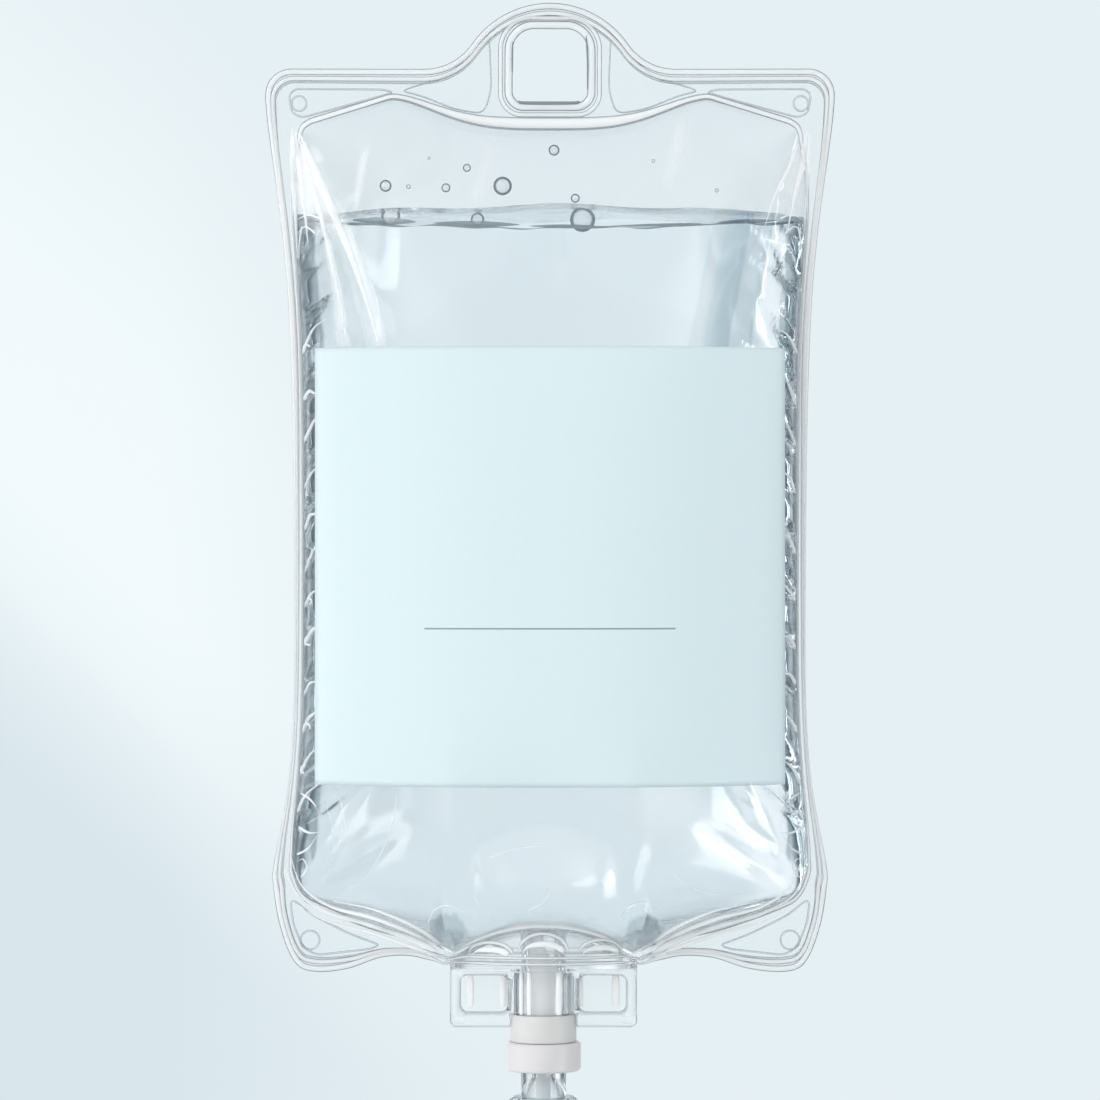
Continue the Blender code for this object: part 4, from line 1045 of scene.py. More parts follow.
# Painted highlight: the wrinkles are white lines with painted shade at their outlines.
WRINKLE_HIGHLIGHT_TONES = ((0.0, (0.96, 0.97, 0.975)), (0.4, (0.88, 0.91, 0.92)), (1.0, (0.55, 0.62, 0.65)))
WRINKLE = clear_glass("wrinkle_highlight", WRINKLE_HIGHLIGHT_TONES, 1.2, 0.1, 0.5)
creases("wrinkles", WRINKLES, WRINKLE)

pucker = np.random.default_rng(5)
for side, name in ((-1, "left_puckers"), (1, "right_puckers")):
    lines, knots = [], []
    z = -64.0
    while z > -160.0:
        edge = float(side_seam(np.array(z * MM))) / MM
        rise = pucker.uniform(2.0, 6.5)
        bow = pucker.uniform(-1.2, 1.2)
        lines.append((pucker.uniform(0.24, 0.38), [
            (side * (edge - 0.5), z - 1.2), (side * (edge - 1.7), z + 0.3 * rise), (
                side * (edge - 3.2), z + 0.6 * rise + bow,
            ),
            (side * (edge - 5.6), z + rise),
        ]))
        if pucker.random() < 0.5:
            start = pucker.uniform(0.0, 360.0)
            radius = pucker.uniform(0.5, 0.9) * MM
            knots.append(arc((side * (edge - 1.4) * MM, z * MM), radius, start, start + 200, 12))
        z -= pucker.uniform(7.0, 12.5)
    creases(name, lines, WHITE_HIGHLIGHT)
    rings = [on_film(knot, CREASE_LIFT) for knot in knots]
    weld_bead(f"{name}_knots", rings, 0.2, 0.2, WHITE_HIGHLIGHT, closed=False)
SHORE_CRUMPLE = (
    (0.22, [(45.6, -38.4), (48.2, -37.5), (51.0, -38.6)]),
    (0.18, [(46.6, -41.4), (48.8, -39.8), (50.8, -41.6)]),
    (0.20, [(49.4, -39.6), (50.0, -43.0), (50.1, -48.0)]),
)
FOOT_CRUMPLE = (
    (0.28, [(50.2, -159.4), (48.0, -160.4), (45.8, -160.2)]),
    (0.24, [(50.6, -165.0), (48.2, -163.6), (46.2, -160.8)]),
    (0.22, [(49.8, -152.6), (47.6, -153.8), (46.2, -155.8), (45.8, -158.8)]),
    (0.20, [(49.8, -169.6), (48.4, -167.6), (49.2, -165.8), (50.4, -166.4)]),
)
for kind, lines in (("shore", SHORE_CRUMPLE), ("foot", FOOT_CRUMPLE)):
    for side, name in ((-1, "left"), (1, "right")):
        creases(f"{name}_{kind}_crumple", mirrored(lines, side), WHITE_HIGHLIGHT)
FOOT_FOLDS = (
    (0.75, [(20.2, -184.9), (26.0, -182.0), (34.0, -179.0), (42.0, -177.0), (48.6, -173.2), (51.4, -168.0)]),
    (0.55, [(20.0, -184.2), (25.4, -180.6), (33.6, -177.4), (42.0, -175.4), (48.0, -171.2), (50.6, -164.0)]),
    (0.45, [(19.4, -183.6), (24.6, -179.4), (33.0, -175.8), (41.6, -174.2)]),
    (0.40, [(20.6, -185.6), (26.4, -183.4), (34.6, -180.6), (43.0, -178.4), (49.8, -174.6)]),
)
# Painted highlight and shade: the foot folds are white in the middle and dark at their outlines.
FOLD_HIGHLIGHT_SHADE = (
    (0.0, (0.985, 0.99, 0.99)), (0.45, (0.95, 0.96, 0.965)), (0.66, (0.42, 0.46, 0.49)),
    (1.0, (0.28, 0.32, 0.35)),
)
FOLD_SHIFT = 1.6
FOLD = clear_glass("foot_fold", FOLD_HIGHLIGHT_SHADE, 1.3, 0.08, 0.88)
for side, name in ((1, "right_foot_folds"), (-1, "left_foot_folds")):
    shift = 0.0 if side > 0 else FOLD_SHIFT
    creases(name, [(w, [(side * x - shift, z) for x, z in keys]) for w, keys in FOOT_FOLDS], FOLD)


# Liquid
# About 380 mL of clear infusion solution. It wets both films, creeps up them at its surface, where
# it shows dark, and carries a few bubbles that cling to the front film. The dark at its surface and
# along its sides, and the bubbles' rings, are painted shade and painted reflection.

LEVEL_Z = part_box("fluid")[1][2]
WET_GAP = 0.25 * MM
LIQUID_MERGE = 0.005 * MM
WAVE_DEPTH = 6 * MM
SHORE_BAND = 0.02 * MM
LEVEL_LENSES = (
    (-39.0, -26.5, 0.75), (-23.0, -6.0, 0.62), (-4.0, 9.0, 0.35), (12.0, 30.0, 0.3), (33.0, 45.0, 0.45),
)
# Places of two painted dark spots of shade in the liquid by the port, x and z in millimetres.
SHADE_SPOTS = ((-20.0, -179.6), (18.6, -179.6))


def surface_wave(x, y):
    """Slow ripple of the liquid's surface."""
    ripple = 0.30 * np.sin(x / (11.0 * MM) + 0.8) + 0.28 * np.sin(x / (5.2 * MM) - y / (9.0 * MM))
    slope = -0.085 - 0.02 * np.sin(x / (14.0 * MM) + 2.0)
    return (ripple + slope * y / MM) * MM


def level_shade_bead(name, x, rise, depth, half_width, half_height, widths):
    """Dark bead under the liquid's level, just behind the front film: painted shade for the dark the surface
    shows.
    """
    z = LEVEL_Z + (-2.1 + rise + 1.9 * (x / (50.0 * MM)) ** 2) * MM
    y = -(film_face(x, z, -1, FRONT_FOLDS) - depth * MM)
    path = np.column_stack((x, y, z))
    weld_bead(name, [path], half_width, half_height, LEVEL_SHADE, closed=False, widths=[widths])


def liquid_body(finish):
    rings = ring_points(True)
    bm = bmesh.new()
    for facing, folds in ((-1, FRONT_FOLDS), (1, BACK_FOLDS)):
        depths = []
        for k, ring in enumerate(rings):
            face = film_face(ring[:, 0], ring[:, 1], facing, folds)
            depths.append(np.maximum(face - WET_GAP, 0.35 * face) * min(1.0, 0.6 * k))
        skin_mesh(bm, rings, depths, facing)
    bmesh.ops.remove_doubles(bm, verts=bm.verts, dist=LIQUID_MERGE)
    geom = bm.verts[:] + bm.edges[:] + bm.faces[:]
    bmesh.ops.bisect_plane(bm, geom=geom, plane_co=(0, 0, LEVEL_Z), plane_no=(0, 0, 1), clear_outer=True)
    shore = {v for e in bm.edges if e.is_boundary for v in e.verts}
    front = sorted((v for v in shore if v.co.y < -SHORE_BAND), key=lambda v: v.co.x)
    back = sorted((v for v in shore if v.co.y > SHORE_BAND), key=lambda v: v.co.x)
    tips = sorted((v for v in shore if abs(v.co.y) <= SHORE_BAND), key=lambda v: v.co.x)
    rows = np.array((0.0, 0.03, 0.07, 0.13, 0.22, 0.35, 0.5, 0.65, 0.78, 0.87, 0.93, 0.97, 1.0))
    columns = []
    for near, far in zip(front, back):
        inner = [bm.verts.new(near.co.lerp(far.co, row)) for row in rows[1:-1]]
        columns.append([near, *inner, far])
    for first, second in zip(columns, columns[1:]):
        for corners in zip(first, second, second[1:], first[1:]):
            bm.faces.new(corners).material_index = 1
    for tip, column in ((tips[0], columns[0]), (tips[-1], columns[-1])):
        for a, b in zip(column, column[1:]):
            bm.faces.new((tip, a, b)).material_index = 1
    for vert in bm.verts:
        depth = LEVEL_Z - vert.co.z
        if depth > WAVE_DEPTH:
            continue
        wall = film_face(np.array(vert.co.x), np.array(vert.co.z), -1, ())
        off = max(0.0, float(wall) - WET_GAP - abs(vert.co.y))
        creep = 1.1 * MM * math.exp(-off / (0.9 * MM))
        share = float(smooth_step(1 - depth / WAVE_DEPTH))
        vert.co.z += (float(surface_wave(vert.co.x, vert.co.y)) + creep) * share
    bmesh.ops.recalc_face_normals(bm, faces=bm.faces)
    shores = [np.array([v.co[:] for v in line]) for line in (front, back)]
    sides = SEAM[(SEAM[:, 1] < -21.0 * MM) & (SEAM[:, 1] > -164.0 * MM)]
    inset = bm.verts.layers.float.new("inset")
    for vert in bm.verts:
        vert[inset] = np.hypot(sides[:, 0] - vert.co.x, sides[:, 1] - vert.co.z).min()
    body = new_piece("liquid", bm, finish)
    body.data.materials.append(SURFACE)
    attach(body, "bag")
    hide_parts("fluid")
    # Painted highlight: a white line along the liquid's front shore.
    line = shores[0][::3] + (0.0, 0.25 * MM, 0.0)
    weld_bead("front_shore", [line], 0.14, 0.14, WHITE_HIGHLIGHT, closed=False, widths=[taper(len(line), 0.9)])
    x = np.linspace(-48.0, 48.5, 240) * MM
    ripple = 0.16 * np.sin(x / (4.1 * MM)) + 0.12 * np.sin(x / (1.9 * MM) + 1.0)
    swing = 0.75 + 0.35 * np.sin(x / (3.3 * MM)) + 0.25 * np.sin(x / (1.3 * MM))
    level_shade_bead("level_line", x, ripple, 0.9, 0.24, 0.18, swing)
    for number, (start, end, half) in enumerate(LEVEL_LENSES):
        x = np.linspace(start, end, 40) * MM
        leaf = np.sin(np.linspace(0.06, math.pi - 0.06, 40)) ** 0.8
        level_shade_bead(f"level_lens_{number}", x, half, 1.1, half, 0.15, leaf)


def base_colour(finish):
    """The material's tree, its shader and what feeds the shader's colour."""
    shader = finish.node_tree.nodes["Principled BSDF"]
    return finish.node_tree, shader, shader.inputs["Base Color"].links[0].from_socket


def liquid_finish():
    """Clear liquid; near the pouch's sides painted slate streaks stand in for the dark of the room seen
    through it.
    """
    stops = ((0.0, (0.925, 0.955, 0.97)), (0.6, (0.90, 0.935, 0.952)), (1.0, (0.60, 0.68, 0.72)))
    finish = clear_glass("clear_liquid", stops, 1.333, 0.0)
    tree, shader, plain = base_colour(finish)
    inset = tree.nodes.new("ShaderNodeAttribute")
    inset.attribute_name = "inset"
    streaks = cloud(tree, 620.0, 2.0, (1.0, 0.4, 0.22), Distortion=0.6).outputs["Fac"]
    wander = cloud(tree, 70.0, 1.0).outputs["Fac"]
    edge = math_node(tree, "MULTIPLY_ADD", wander, 3.4 * MM, inset.outputs["Fac"])
    share = math_node(tree, "DIVIDE", edge, 10.0 * MM, clamp=True)
    band = colour_ramp(tree, share, ((0.0, 0.9), (0.60, 1.0), (0.66, 0.0)))
    side_shade_tone = colour_ramp(tree, streaks, (
        (0.34, (0.20, 0.25, 0.28)), (0.54, (0.30, 0.37, 0.41)), (0.64, (0.55, 0.61, 0.64)), (
            0.74, (0.90, 0.92, 0.93),
        ),
    ))
    # Painted shade: slanting blue-grey bands over the front of the liquid on the right, in its upper part.
    east, deep, up = axes(tree)
    lean = math_node(tree, "MULTIPLY_ADD", math_node(tree, "ADD", up, 43.0 * MM), -0.20, east)
    bent = math_node(tree, "MULTIPLY_ADD", wander, 2.4 * MM, lean)
    wedge_place = math_node(tree, "MULTIPLY_ADD", bent, 25.0, -0.28)
    wedge_shade = colour_ramp(tree, wedge_place, (
        (0.535, 1.0), (0.545, (0.80, 0.87, 0.90)), (0.575, (0.90, 0.88, 0.85)), (0.605, (0.84, 0.84, 0.83)),
        (0.615, (0.70, 0.78, 0.81)), (0.735, (0.50, 0.60, 0.65)), (0.745, (0.87, 0.875, 0.90)),
        (0.825, (0.89, 0.905, 0.93)), (0.84, (0.66, 0.77, 0.84)), (0.855, 1.0),
    ))
    low = colour_ramp(tree, math_node(tree, "MULTIPLY", up, -10.0), ((0.75, 1.0), (0.95, 0.0)))
    near = math_node(tree, "MULTIPLY", low, math_node(tree, "LESS_THAN", deep, 0.0))
    plain = mix_colour(tree, near, plain, mix_colour(tree, 1.0, plain, wedge_shade, "MULTIPLY"))
    # Painted shade: two dark spots in the liquid by the port.
    for x, z in SHADE_SPOTS:
        off = tree.nodes.new("ShaderNodeVectorMath")
        off.operation = "DISTANCE"
        plug(tree, off.inputs[0], node(tree, "ShaderNodeCombineXYZ", X=east, Z=up).outputs[0])
        plug(tree, off.inputs[1], (x * MM, 0.0, z * MM))
        ragged = math_node(tree, "MULTIPLY_ADD", streaks, 2.2 * MM, off.outputs["Value"])
        ragged = math_node(tree, "DIVIDE", ragged, 10.0 * MM, clamp=True)
        shade_spot = colour_ramp(tree, ragged, ((0.0, 0.75), (0.40, 0.85), (0.50, 0.0)))
        plain = mix_colour(tree, shade_spot, plain, (0.34, 0.43, 0.47))
    feed(tree, shader, Base_Color=mix_colour(tree, band, plain, side_shade_tone))
    return finish


def surface_finish():
    """The liquid's surface from below: a painted slate reflection with a few painted bright patches."""
    stops = ((0.0, (0.20, 0.27, 0.31)), (1.0, (0.15, 0.21, 0.25)))
    finish = clear_glass("liquid_surface", stops, 1.333, 0.0, 0.55)
    tree, shader, plain = base_colour(finish)
    glint_noise = cloud(tree, 85.0, 2.0, (1.0, 1.6, 1.0)).outputs["Fac"]
    rightwards = math_node(tree, "MULTIPLY_ADD", axes(tree)[0], 3.0, glint_noise)
    painted_glint = colour_ramp(tree, rightwards, ((0.32, 0.0), (0.42, 1.0)))
    feed(tree, shader, Base_Color=mix_colour(tree, painted_glint, plain, (0.88, 0.91, 0.925)))
    return finish


# Painted shade: slate colours of the dark beads under the liquid's level.
SLATE_EDGE = ((0.0, (0.26, 0.33, 0.37)), (0.6, (0.18, 0.24, 0.27)), (1.0, (0.10, 0.14, 0.17)))
LEVEL_SHADE = clear_glass("level_slate", SLATE_EDGE, 1.2, 0.05, 0.6)
LIQUID = liquid_finish()
SURFACE = surface_finish()
liquid_body(LIQUID)


BUBBLE_BALL = {"Segments": 32, "Rings": 20, "Radius": 1.0}
BUBBLE_WALL = 0.07


def bubble_tree():
    """Geometry nodes: a thin round shell on every point, as large as the point's radius."""
    tree, given = node_group("bubbles", "Places", ("Wall",))
    size = node(tree, "GeometryNodeInputNamedAttribute", Name="radius")
    size.data_type = "FLOAT"
    balls = [node(tree, "GeometryNodeMeshUVSphere", **BUBBLE_BALL).outputs["Mesh"] for _ in range(2)]
    inside = math_node(tree, "SUBTRACT", 1.0, given["Wall"])
    shrink = node(tree, "GeometryNodeTransform", Geometry=balls[1], Scale=inside)
    turn = node(tree, "GeometryNodeFlipFaces", Mesh=shrink.outputs["Geometry"])
    join = tree.nodes.new("GeometryNodeJoinGeometry")
    for shell in (balls[0], turn.outputs["Mesh"]):
        plug(tree, join.inputs[0], shell)
    spread = node(
        tree, "GeometryNodeInstanceOnPoints",
        Points=given["Places"], Instance=join.outputs[0], Scale=size.outputs["Attribute"],
    )
    return end_group(tree, given, spread.outputs[0])


BUBBLES = (
    (-32.6, -32.0, 1.2), (-28.0, -32.3, 0.45), (-20.6, -32.5, 0.9), (-16.5, -28.4, 0.8), (-9.4, -32.0, 1.85),
    (0.8, -24.6, 1.1), (5.0, -34.6, 0.9), (6.4, -39.0, 2.5), (-31.4, -38.3, 1.9), (-14.3, -39.0, 1.3),
    (20.5, -27.0, 0.35), (-24.0, -26.5, 0.3), (33.0, -33.0, 0.4),
)


def bubbles(finish):
    """Bubbles that cling to the inside of the front film, given as x, z and radius in millimetres."""
    bm = bmesh.new()
    radius = bm.verts.layers.float.new("radius")
    for x, z, r in BUBBLES:
        face = float(film_face(np.array(x * MM), np.array(z * MM), -1, FRONT_FOLDS))
        vert = bm.verts.new((x * MM, -(face - (r + 0.25) * MM), z * MM))
        vert[radius] = r * MM
    places = new_piece("bubbles", bm, finish)
    grow = places.modifiers.new("grow", "NODES")
    grow.node_group = bubble_tree()
    set_inputs(grow, wall=BUBBLE_WALL, finish=finish)
    bake(places)
    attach(places, "bag")


# Painted highlight in the bubbles' middles and painted shade in their dark rings.
BUBBLE_RING = (
    (0.0, (0.97, 0.98, 0.99)), (0.28, (0.93, 0.95, 0.96)), (0.40, (0.20, 0.25, 0.28)),
    (0.9, (0.16, 0.2, 0.23)),
)
bubbles(clear_glass("bubble", BUBBLE_RING, 1.08, 0.0, 0.25))


# Label
# Pale blue film label, stuck on the front of the pouch, which it follows; it is bare but for one
# fine rule under the middle. Its colour changes from left to right as painted shading.

LABEL_LOW, LABEL_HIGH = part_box("label")
LABEL_EDGE = 46.5 * MM
LABEL_WALL = 0.15 * MM
LIFT_INSETS = (0.0, 4.0, 9.0, 16.0)
LIFTS = (1.9, 1.9, 1.2, 0.75)
RULE_Z = -119.6 * MM
RULE_HALF_LENGTH = 24.6 * MM
RULE_HALF_WIDTH = 0.16 * MM
LABEL_SHADING = ((0.0, (0.666, 0.776, 0.795)), (0.5, (0.712, 0.840, 0.862)), (1.0, (0.728, 0.856, 0.885)))


def label_sheet(finish):
    xs = np.linspace(-LABEL_EDGE, LABEL_EDGE, 97)
    zs = np.linspace(LABEL_HIGH[2], LABEL_LOW[2], 73)
    grid_x, grid_z = np.meshgrid(xs, zs)
    base = FILM_HALF_GAP + fill(grid_x, grid_z)
    inset = side_seam(grid_z) - np.abs(grid_x)
    lift = np.interp(inset, np.array(LIFT_INSETS) * MM, LIFTS) * MM
    bm = bmesh.new()
    quad_rows(bm, [
        [bm.verts.new((x, -y, z)) for x, y, z in zip(*line)]
        for line in zip(grid_x, base + lift, grid_z)
    ])
    sheet = new_piece("label_sheet", bm, finish)
    thicken(sheet, LABEL_WALL)
    bake(sheet)
    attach(sheet, "bag")
    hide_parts("label")


BUMP_DEPTH = 0.0002


def fine_bump(tree, strength, grain):
    """Shallow bump from a noise."""
    bump = node(tree, "ShaderNodeBump", Strength=strength, Distance=BUMP_DEPTH, Height=grain.outputs["Fac"])
    return bump.outputs[0]


def label_finish():
    finish, tree, shader = new_finish("label_sheet")
    east, _, up = axes(tree)
    across = math_node(tree, "MULTIPLY_ADD", east, 0.5 / LABEL_EDGE, 0.5)
    # Painted shading: the label's colour changes from its left edge to its right.
    shaded_paper = colour_ramp(tree, across, LABEL_SHADING)
    grain = cloud(tree, 900.0, 2.0)
    shaded_paper = mix_colour(tree, 0.04, shaded_paper, grain.outputs["Color"], "OVERLAY")
    off_rule = math_node(tree, "ABSOLUTE", math_node(tree, "ADD", up, -RULE_Z))
    in_rule = math_node(tree, "LESS_THAN", off_rule, RULE_HALF_WIDTH)
    in_span = math_node(tree, "LESS_THAN", math_node(tree, "ABSOLUTE", east), RULE_HALF_LENGTH)
    ink = mix_colour(tree, math_node(tree, "MULTIPLY", in_rule, in_span), shaded_paper, (0.28, 0.36, 0.39))
    feed(tree, shader, Base_Color=ink, Roughness=0.42, Specular_IOR_Level=0.35)
    feed(tree, shader, Normal=fine_bump(tree, 0.08, grain))
    return finish


label_sheet(label_finish())


# Port
# Injection-moulded clear port, welded between the films by its boat. Two windows with a thin web
# stiffen the plate below it, and its sleeve holds the septum and guides the spike.

COLLAR_LOW, COLLAR_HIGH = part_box("port_collar")
SEPTUM_LOW, SEPTUM_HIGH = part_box("port_septum")
PLATE_TOP_Z = -187.5 * MM
PLATE_FOOT_Z = -199.6 * MM
SLEEVE_RADIUS = 6.4 * MM
SLEEVE_FOOT_Z = COLLAR_HIGH[2] + 0.3 * MM
SLEEVE_BORE = 4.2 * MM
NOSE_RADIUS = 5.4 * MM
BAR_POWER = 2.8
BAR_STEPS = 28


def outward_piece(name, bm, finish):
    """Closed piece with its faces turned outwards."""
    bmesh.ops.recalc_face_normals(bm, faces=bm.faces)
    if bm.calc_volume(signed=True) < 0:
        bmesh.ops.reverse_faces(bm, faces=bm.faces)
    return new_piece(name, bm, finish)


def ring_solid(name, outer, inner, half_depth):
    """Rounded bar that fills the space between two outlines of as many points."""
    bm = bmesh.new()
    rings = []
    for turn in np.linspace(0.0, 2 * math.pi, BAR_STEPS, endpoint=False):
        c, s = math.cos(turn), math.sin(turn)
        across = 0.5 + 0.5 * math.copysign(abs(c) ** (2 / BAR_POWER), c)
        depth = half_depth * math.copysign(abs(s) ** (2 / BAR_POWER), s)
        rings.append([bm.verts.new((x, depth, z)) for x, z in inner + (outer - inner) * across])
    close_rings(bm, rings + rings[:1])
    return outward_piece(name, bm, None)


def turned(name, profile, finish=None, rounding=0.25, steps=96, corner_steps=4):
    """Closed (radius, z) profile in metres turned round the port's axis, its corners rounded."""
    bm = bmesh.new()
    turns = np.linspace(0.0, 2 * math.pi, steps, endpoint=False)
    rings = [
        [bm.verts.new((PORT_X + r * math.cos(turn), r * math.sin(turn), z)) for turn in turns]
        for r, z in round_corners(np.array(profile), rounding * MM, 0.4, corner_steps)
    ]
    close_rings(bm, rings + rings[:1])
    return outward_piece(name, bm, finish)


def set_shading(piece, sharp_deg):
    """Smooth faces with sharp edges above an angle."""
    for face in piece.data.polygons:
        face.use_smooth = True
    piece.data.set_sharp_from_angle(angle=math.radians(sharp_deg))


def join_solid(target, tool, operation):
    step = target.modifiers.new(operation.lower(), "BOOLEAN")
    step.operation = operation
    step.object = tool
    bake(target)
    bpy.data.objects.remove(tool)


def boat_solid():
    """Lens in plan with an arched top, rounded where the films lie on it."""
    bm = bmesh.new()
    foot = PLATE_TOP_Z - 0.6 * MM
    across = np.sin(np.linspace(-0.5, 0.5, 57) * math.pi) * (PORT_HALF - 0.05 * MM)
    levels = np.array((0.0, 0.25, 0.5, 0.68, 0.82, 0.92, 0.98, 1.0))
    pinch = np.array((1.0, 1.0, 1.0, 0.995, 0.97, 0.92, 0.82, 0.66))
    loops = []
    for level, hold in zip(levels, pinch):
        top = arch(np.minimum(np.abs(across), ARCH_HALF)) - 1.4 * MM
        z = foot + (top - foot) * level
        y = boat_half(np.abs(across)) * hold
        front = [bm.verts.new((PORT_X + a, -b, c)) for a, b, c in zip(across, y, z)]
        back = [bm.verts.new((PORT_X + a, b, c)) for a, b, c in zip(across, y, z)]
        loops.append(front + back[::-1])
    close_rings(bm, loops)
    count = len(loops[0])
    for loop in (loops[0], loops[-1]):
        for i in range(count // 2 - 1):
            bm.faces.new((loop[i], loop[i + 1], loop[count - 2 - i], loop[count - 1 - i]))
    return outward_piece("boat", bm, None)


def port_moulding(finish):
    body = None
    for side in (1, -1):
        near, far = sorted((PORT_X + side * 7.2 * MM, PORT_X + side * (PORT_HALF - 2.3 * MM)))
        start, end = sorted((PORT_X + side * 4.4 * MM, PORT_X + side * PORT_HALF))
        low_z, high_z = PLATE_FOOT_Z + 3.1 * MM, PLATE_TOP_Z - 1.7 * MM
        outer = rounded_loop(start, end, PLATE_FOOT_Z, PLATE_TOP_Z, 1.4 * MM, 0.9 * MM)
        inner = rounded_loop(near, far, low_z, high_z, 1.5 * MM, 1.5 * MM)
        bars = ring_solid("port_moulding", outer, inner, 2.5 * MM)
        ends = (near - MM, far + MM, low_z - MM, high_z + MM)
        web = rounded_loop(*ends, 1.8 * MM, 1.8 * MM)
        join_solid(bars, upright_block("web", web, -0.5 * MM, 0.5 * MM), "UNION")
        if body:
            join_solid(body, bars, "UNION")
        else:
            body = bars
    for side in (1, -1):
        x = PORT_X + side * (PORT_HALF - 2.0 * MM)
        low_z, high_z = PLATE_FOOT_Z + 0.9 * MM, PLATE_FOOT_Z + 2.4 * MM
        rail = rounded_loop(x - 0.9 * MM, x + 0.9 * MM, low_z, high_z, 0.4 * MM, 0.4 * MM, 5)
        for facing in (1, -1):
            low, high = sorted((facing * 1.8 * MM, facing * 5.0 * MM))
            join_solid(body, upright_block("recess", rail, low, high), "DIFFERENCE")
    middle = (PLATE_TOP_Z + SEAM_PORT_Z) / 2
    near, far = 0.4 * MM, 6.9 * MM
    room = [(near, SLEEVE_FOOT_Z), (far, SLEEVE_FOOT_Z), (far, COLLAR_LOW[2]), (near, COLLAR_LOW[2])]
    join_solid(body, turned("room", room, rounding=0.0, corner_steps=2), "DIFFERENCE")
    join_solid(body, boat_solid(), "UNION")
    sleeve = [
        (SLEEVE_BORE, middle), (SLEEVE_RADIUS, middle), (SLEEVE_RADIUS, SLEEVE_FOOT_Z), (
            SLEEVE_BORE, SLEEVE_FOOT_Z,
        ),
    ]
    join_solid(body, turned("sleeve", sleeve, rounding=0.2), "UNION")
    foot_z = PORT_LOW[2] if PORT_LOW[2] > COLLAR_LOW[2] else SEPTUM_HIGH[2] + 0.3 * MM
    nose = [(SLEEVE_BORE, middle), (NOSE_RADIUS, middle), (NOSE_RADIUS, foot_z), (SLEEVE_BORE, foot_z)]
    join_solid(body, turned("nose", nose, rounding=0.2), "UNION")
    axis, high, low = 0.0002 * MM, SEAM_PORT_Z + 12 * MM, PLATE_FOOT_Z - 4 * MM
    bore = [(axis, high), (SLEEVE_BORE, high), (SLEEVE_BORE, low), (axis, low)]
    join_solid(body, turned("bore", bore, rounding=0.0, corner_steps=2), "DIFFERENCE")
    set_shading(body, 35)
    body.data.materials.clear()
    body.data.materials.append(finish)
    return body


def fitted(piece, body, replaced):
    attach(piece, body)
    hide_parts(replaced)


# Painted shade: the clear mouldings darken towards their outlines, for the dark of the room seen through
# them.
MOULDED_EDGE = (
    (0.0, (0.965, 0.98, 0.985)), (0.16, (0.97, 0.98, 0.985)), (0.42, (0.62, 0.67, 0.70)),
    (0.9, (0.28, 0.32, 0.35)),
)
MOULDING = clear_glass("clear_moulding", MOULDED_EDGE, 1.46, 0.04, 0.12)
fitted(port_moulding(MOULDING), "bag", "port_frame")


# Painted highlight over the port's boat: white arcs along its three domes, painted sheen inside them and two
# white lines across its top.
domes, dome_sheens = [], []
turn = np.linspace(0.0, math.pi, 24)
for centre_x, half, top_z, base_z in (
    (-11.8, 4.4, -182.2, -184.6), (-1.4, 4.9, -180.3, -184.0), (10.0, 4.3, -181.7, -184.4),
):
    across, up = half * np.cos(turn), (top_z - base_z) * np.sin(turn)
    domes.append(on_border(np.column_stack((centre_x + across, base_z + up)) * MM, -1))
    dome_sheens.append(on_border(np.column_stack((centre_x + 0.8 * across, base_z - 0.2 + 0.5 * up)) * MM, -1))
across = np.linspace(PORT_X - 17.6 * MM, PORT_X + 17.6 * MM, 40)
rails = [np.column_stack((across, np.full(40, z * MM))) for z in (-185.2, -186.4)]
weld_bead("port_domes", domes, 0.4, 0.3, BEAD, closed=False, widths=[taper(24, 0.8)] * 3)
weld_bead("port_lenses", dome_sheens, 0.62, 0.25, SEAM_BAND, closed=False, widths=[taper(24, 0.5)] * 3)


def uprights(name, bars, depth, low, high, half_height, finish):
    """Upright rounded bars: each is its x and its half width, in millimetres."""
    rise = np.linspace(low, high, 24) * MM
    lines = [np.column_stack((np.full(24, x * MM), np.full(24, depth * MM), rise)) for x, _ in bars]
    ends = np.sin(np.linspace(0.06, 0.94, 24) * math.pi) ** 0.18
    widths = [half_width * ends for _, half_width in bars]
    weld_bead(name, lines, 1.0, half_height, finish, closed=False, widths=widths)


# Painted highlight bars beside the windows and on the sleeve, and painted shade lines at the sleeve's sides.
uprights(
    "window_bars", ((-15.9, 0.75), (-9.3, 0.7), (6.1, 0.55), (13.1, 0.85)), -0.9, -195.4, -189.0, 0.35,
    SEAM_BAND,
)
uprights("sleeve_glow", ((-5.75, 0.4), (-4.1, 0.55), (1.75, 0.7)), -5.7, -196.6, -187.9, 0.6, SEAM_BAND)
uprights("sleeve_sides", ((-6.95, 0.24), (4.0, 0.24)), -4.2, -196.8, -188.2, 0.24, EDGE_LINE)
weld_bead(
    "port_rails", [on_border(rail, -1) for rail in rails], 0.3, 0.3, BEAD, closed=False,
    widths=[taper(40, 0.95)] * 2,
)


# Septum and collar
# A disc of grey-beige rubber closes the sleeve; a translucent collar is snapped over both.


def solid_plastic(name, colour, shade, roughness, grain=500.0, translucent=0.0):
    """Moulded plastic or rubber with a faint mottle and moulded grain."""
    finish, tree, shader = new_finish(name)
    mottle = colour_ramp(tree, cloud(tree, 90.0, 3.0).outputs["Fac"], ((0.35, shade), (0.65, colour)))
    feed(tree, shader, Base_Color=mottle, Transmission_Weight=translucent, IOR=1.45)
    fine = cloud(tree, grain, 2.0)
    rough = node(tree, "ShaderNodeMapRange", Value=fine.outputs["Fac"])
    feed(tree, rough, To_Min=roughness - 0.06, To_Max=roughness + 0.06)
    feed(tree, shader, Roughness=rough.outputs[0], Normal=fine_bump(tree, 0.15, fine))
    return finish


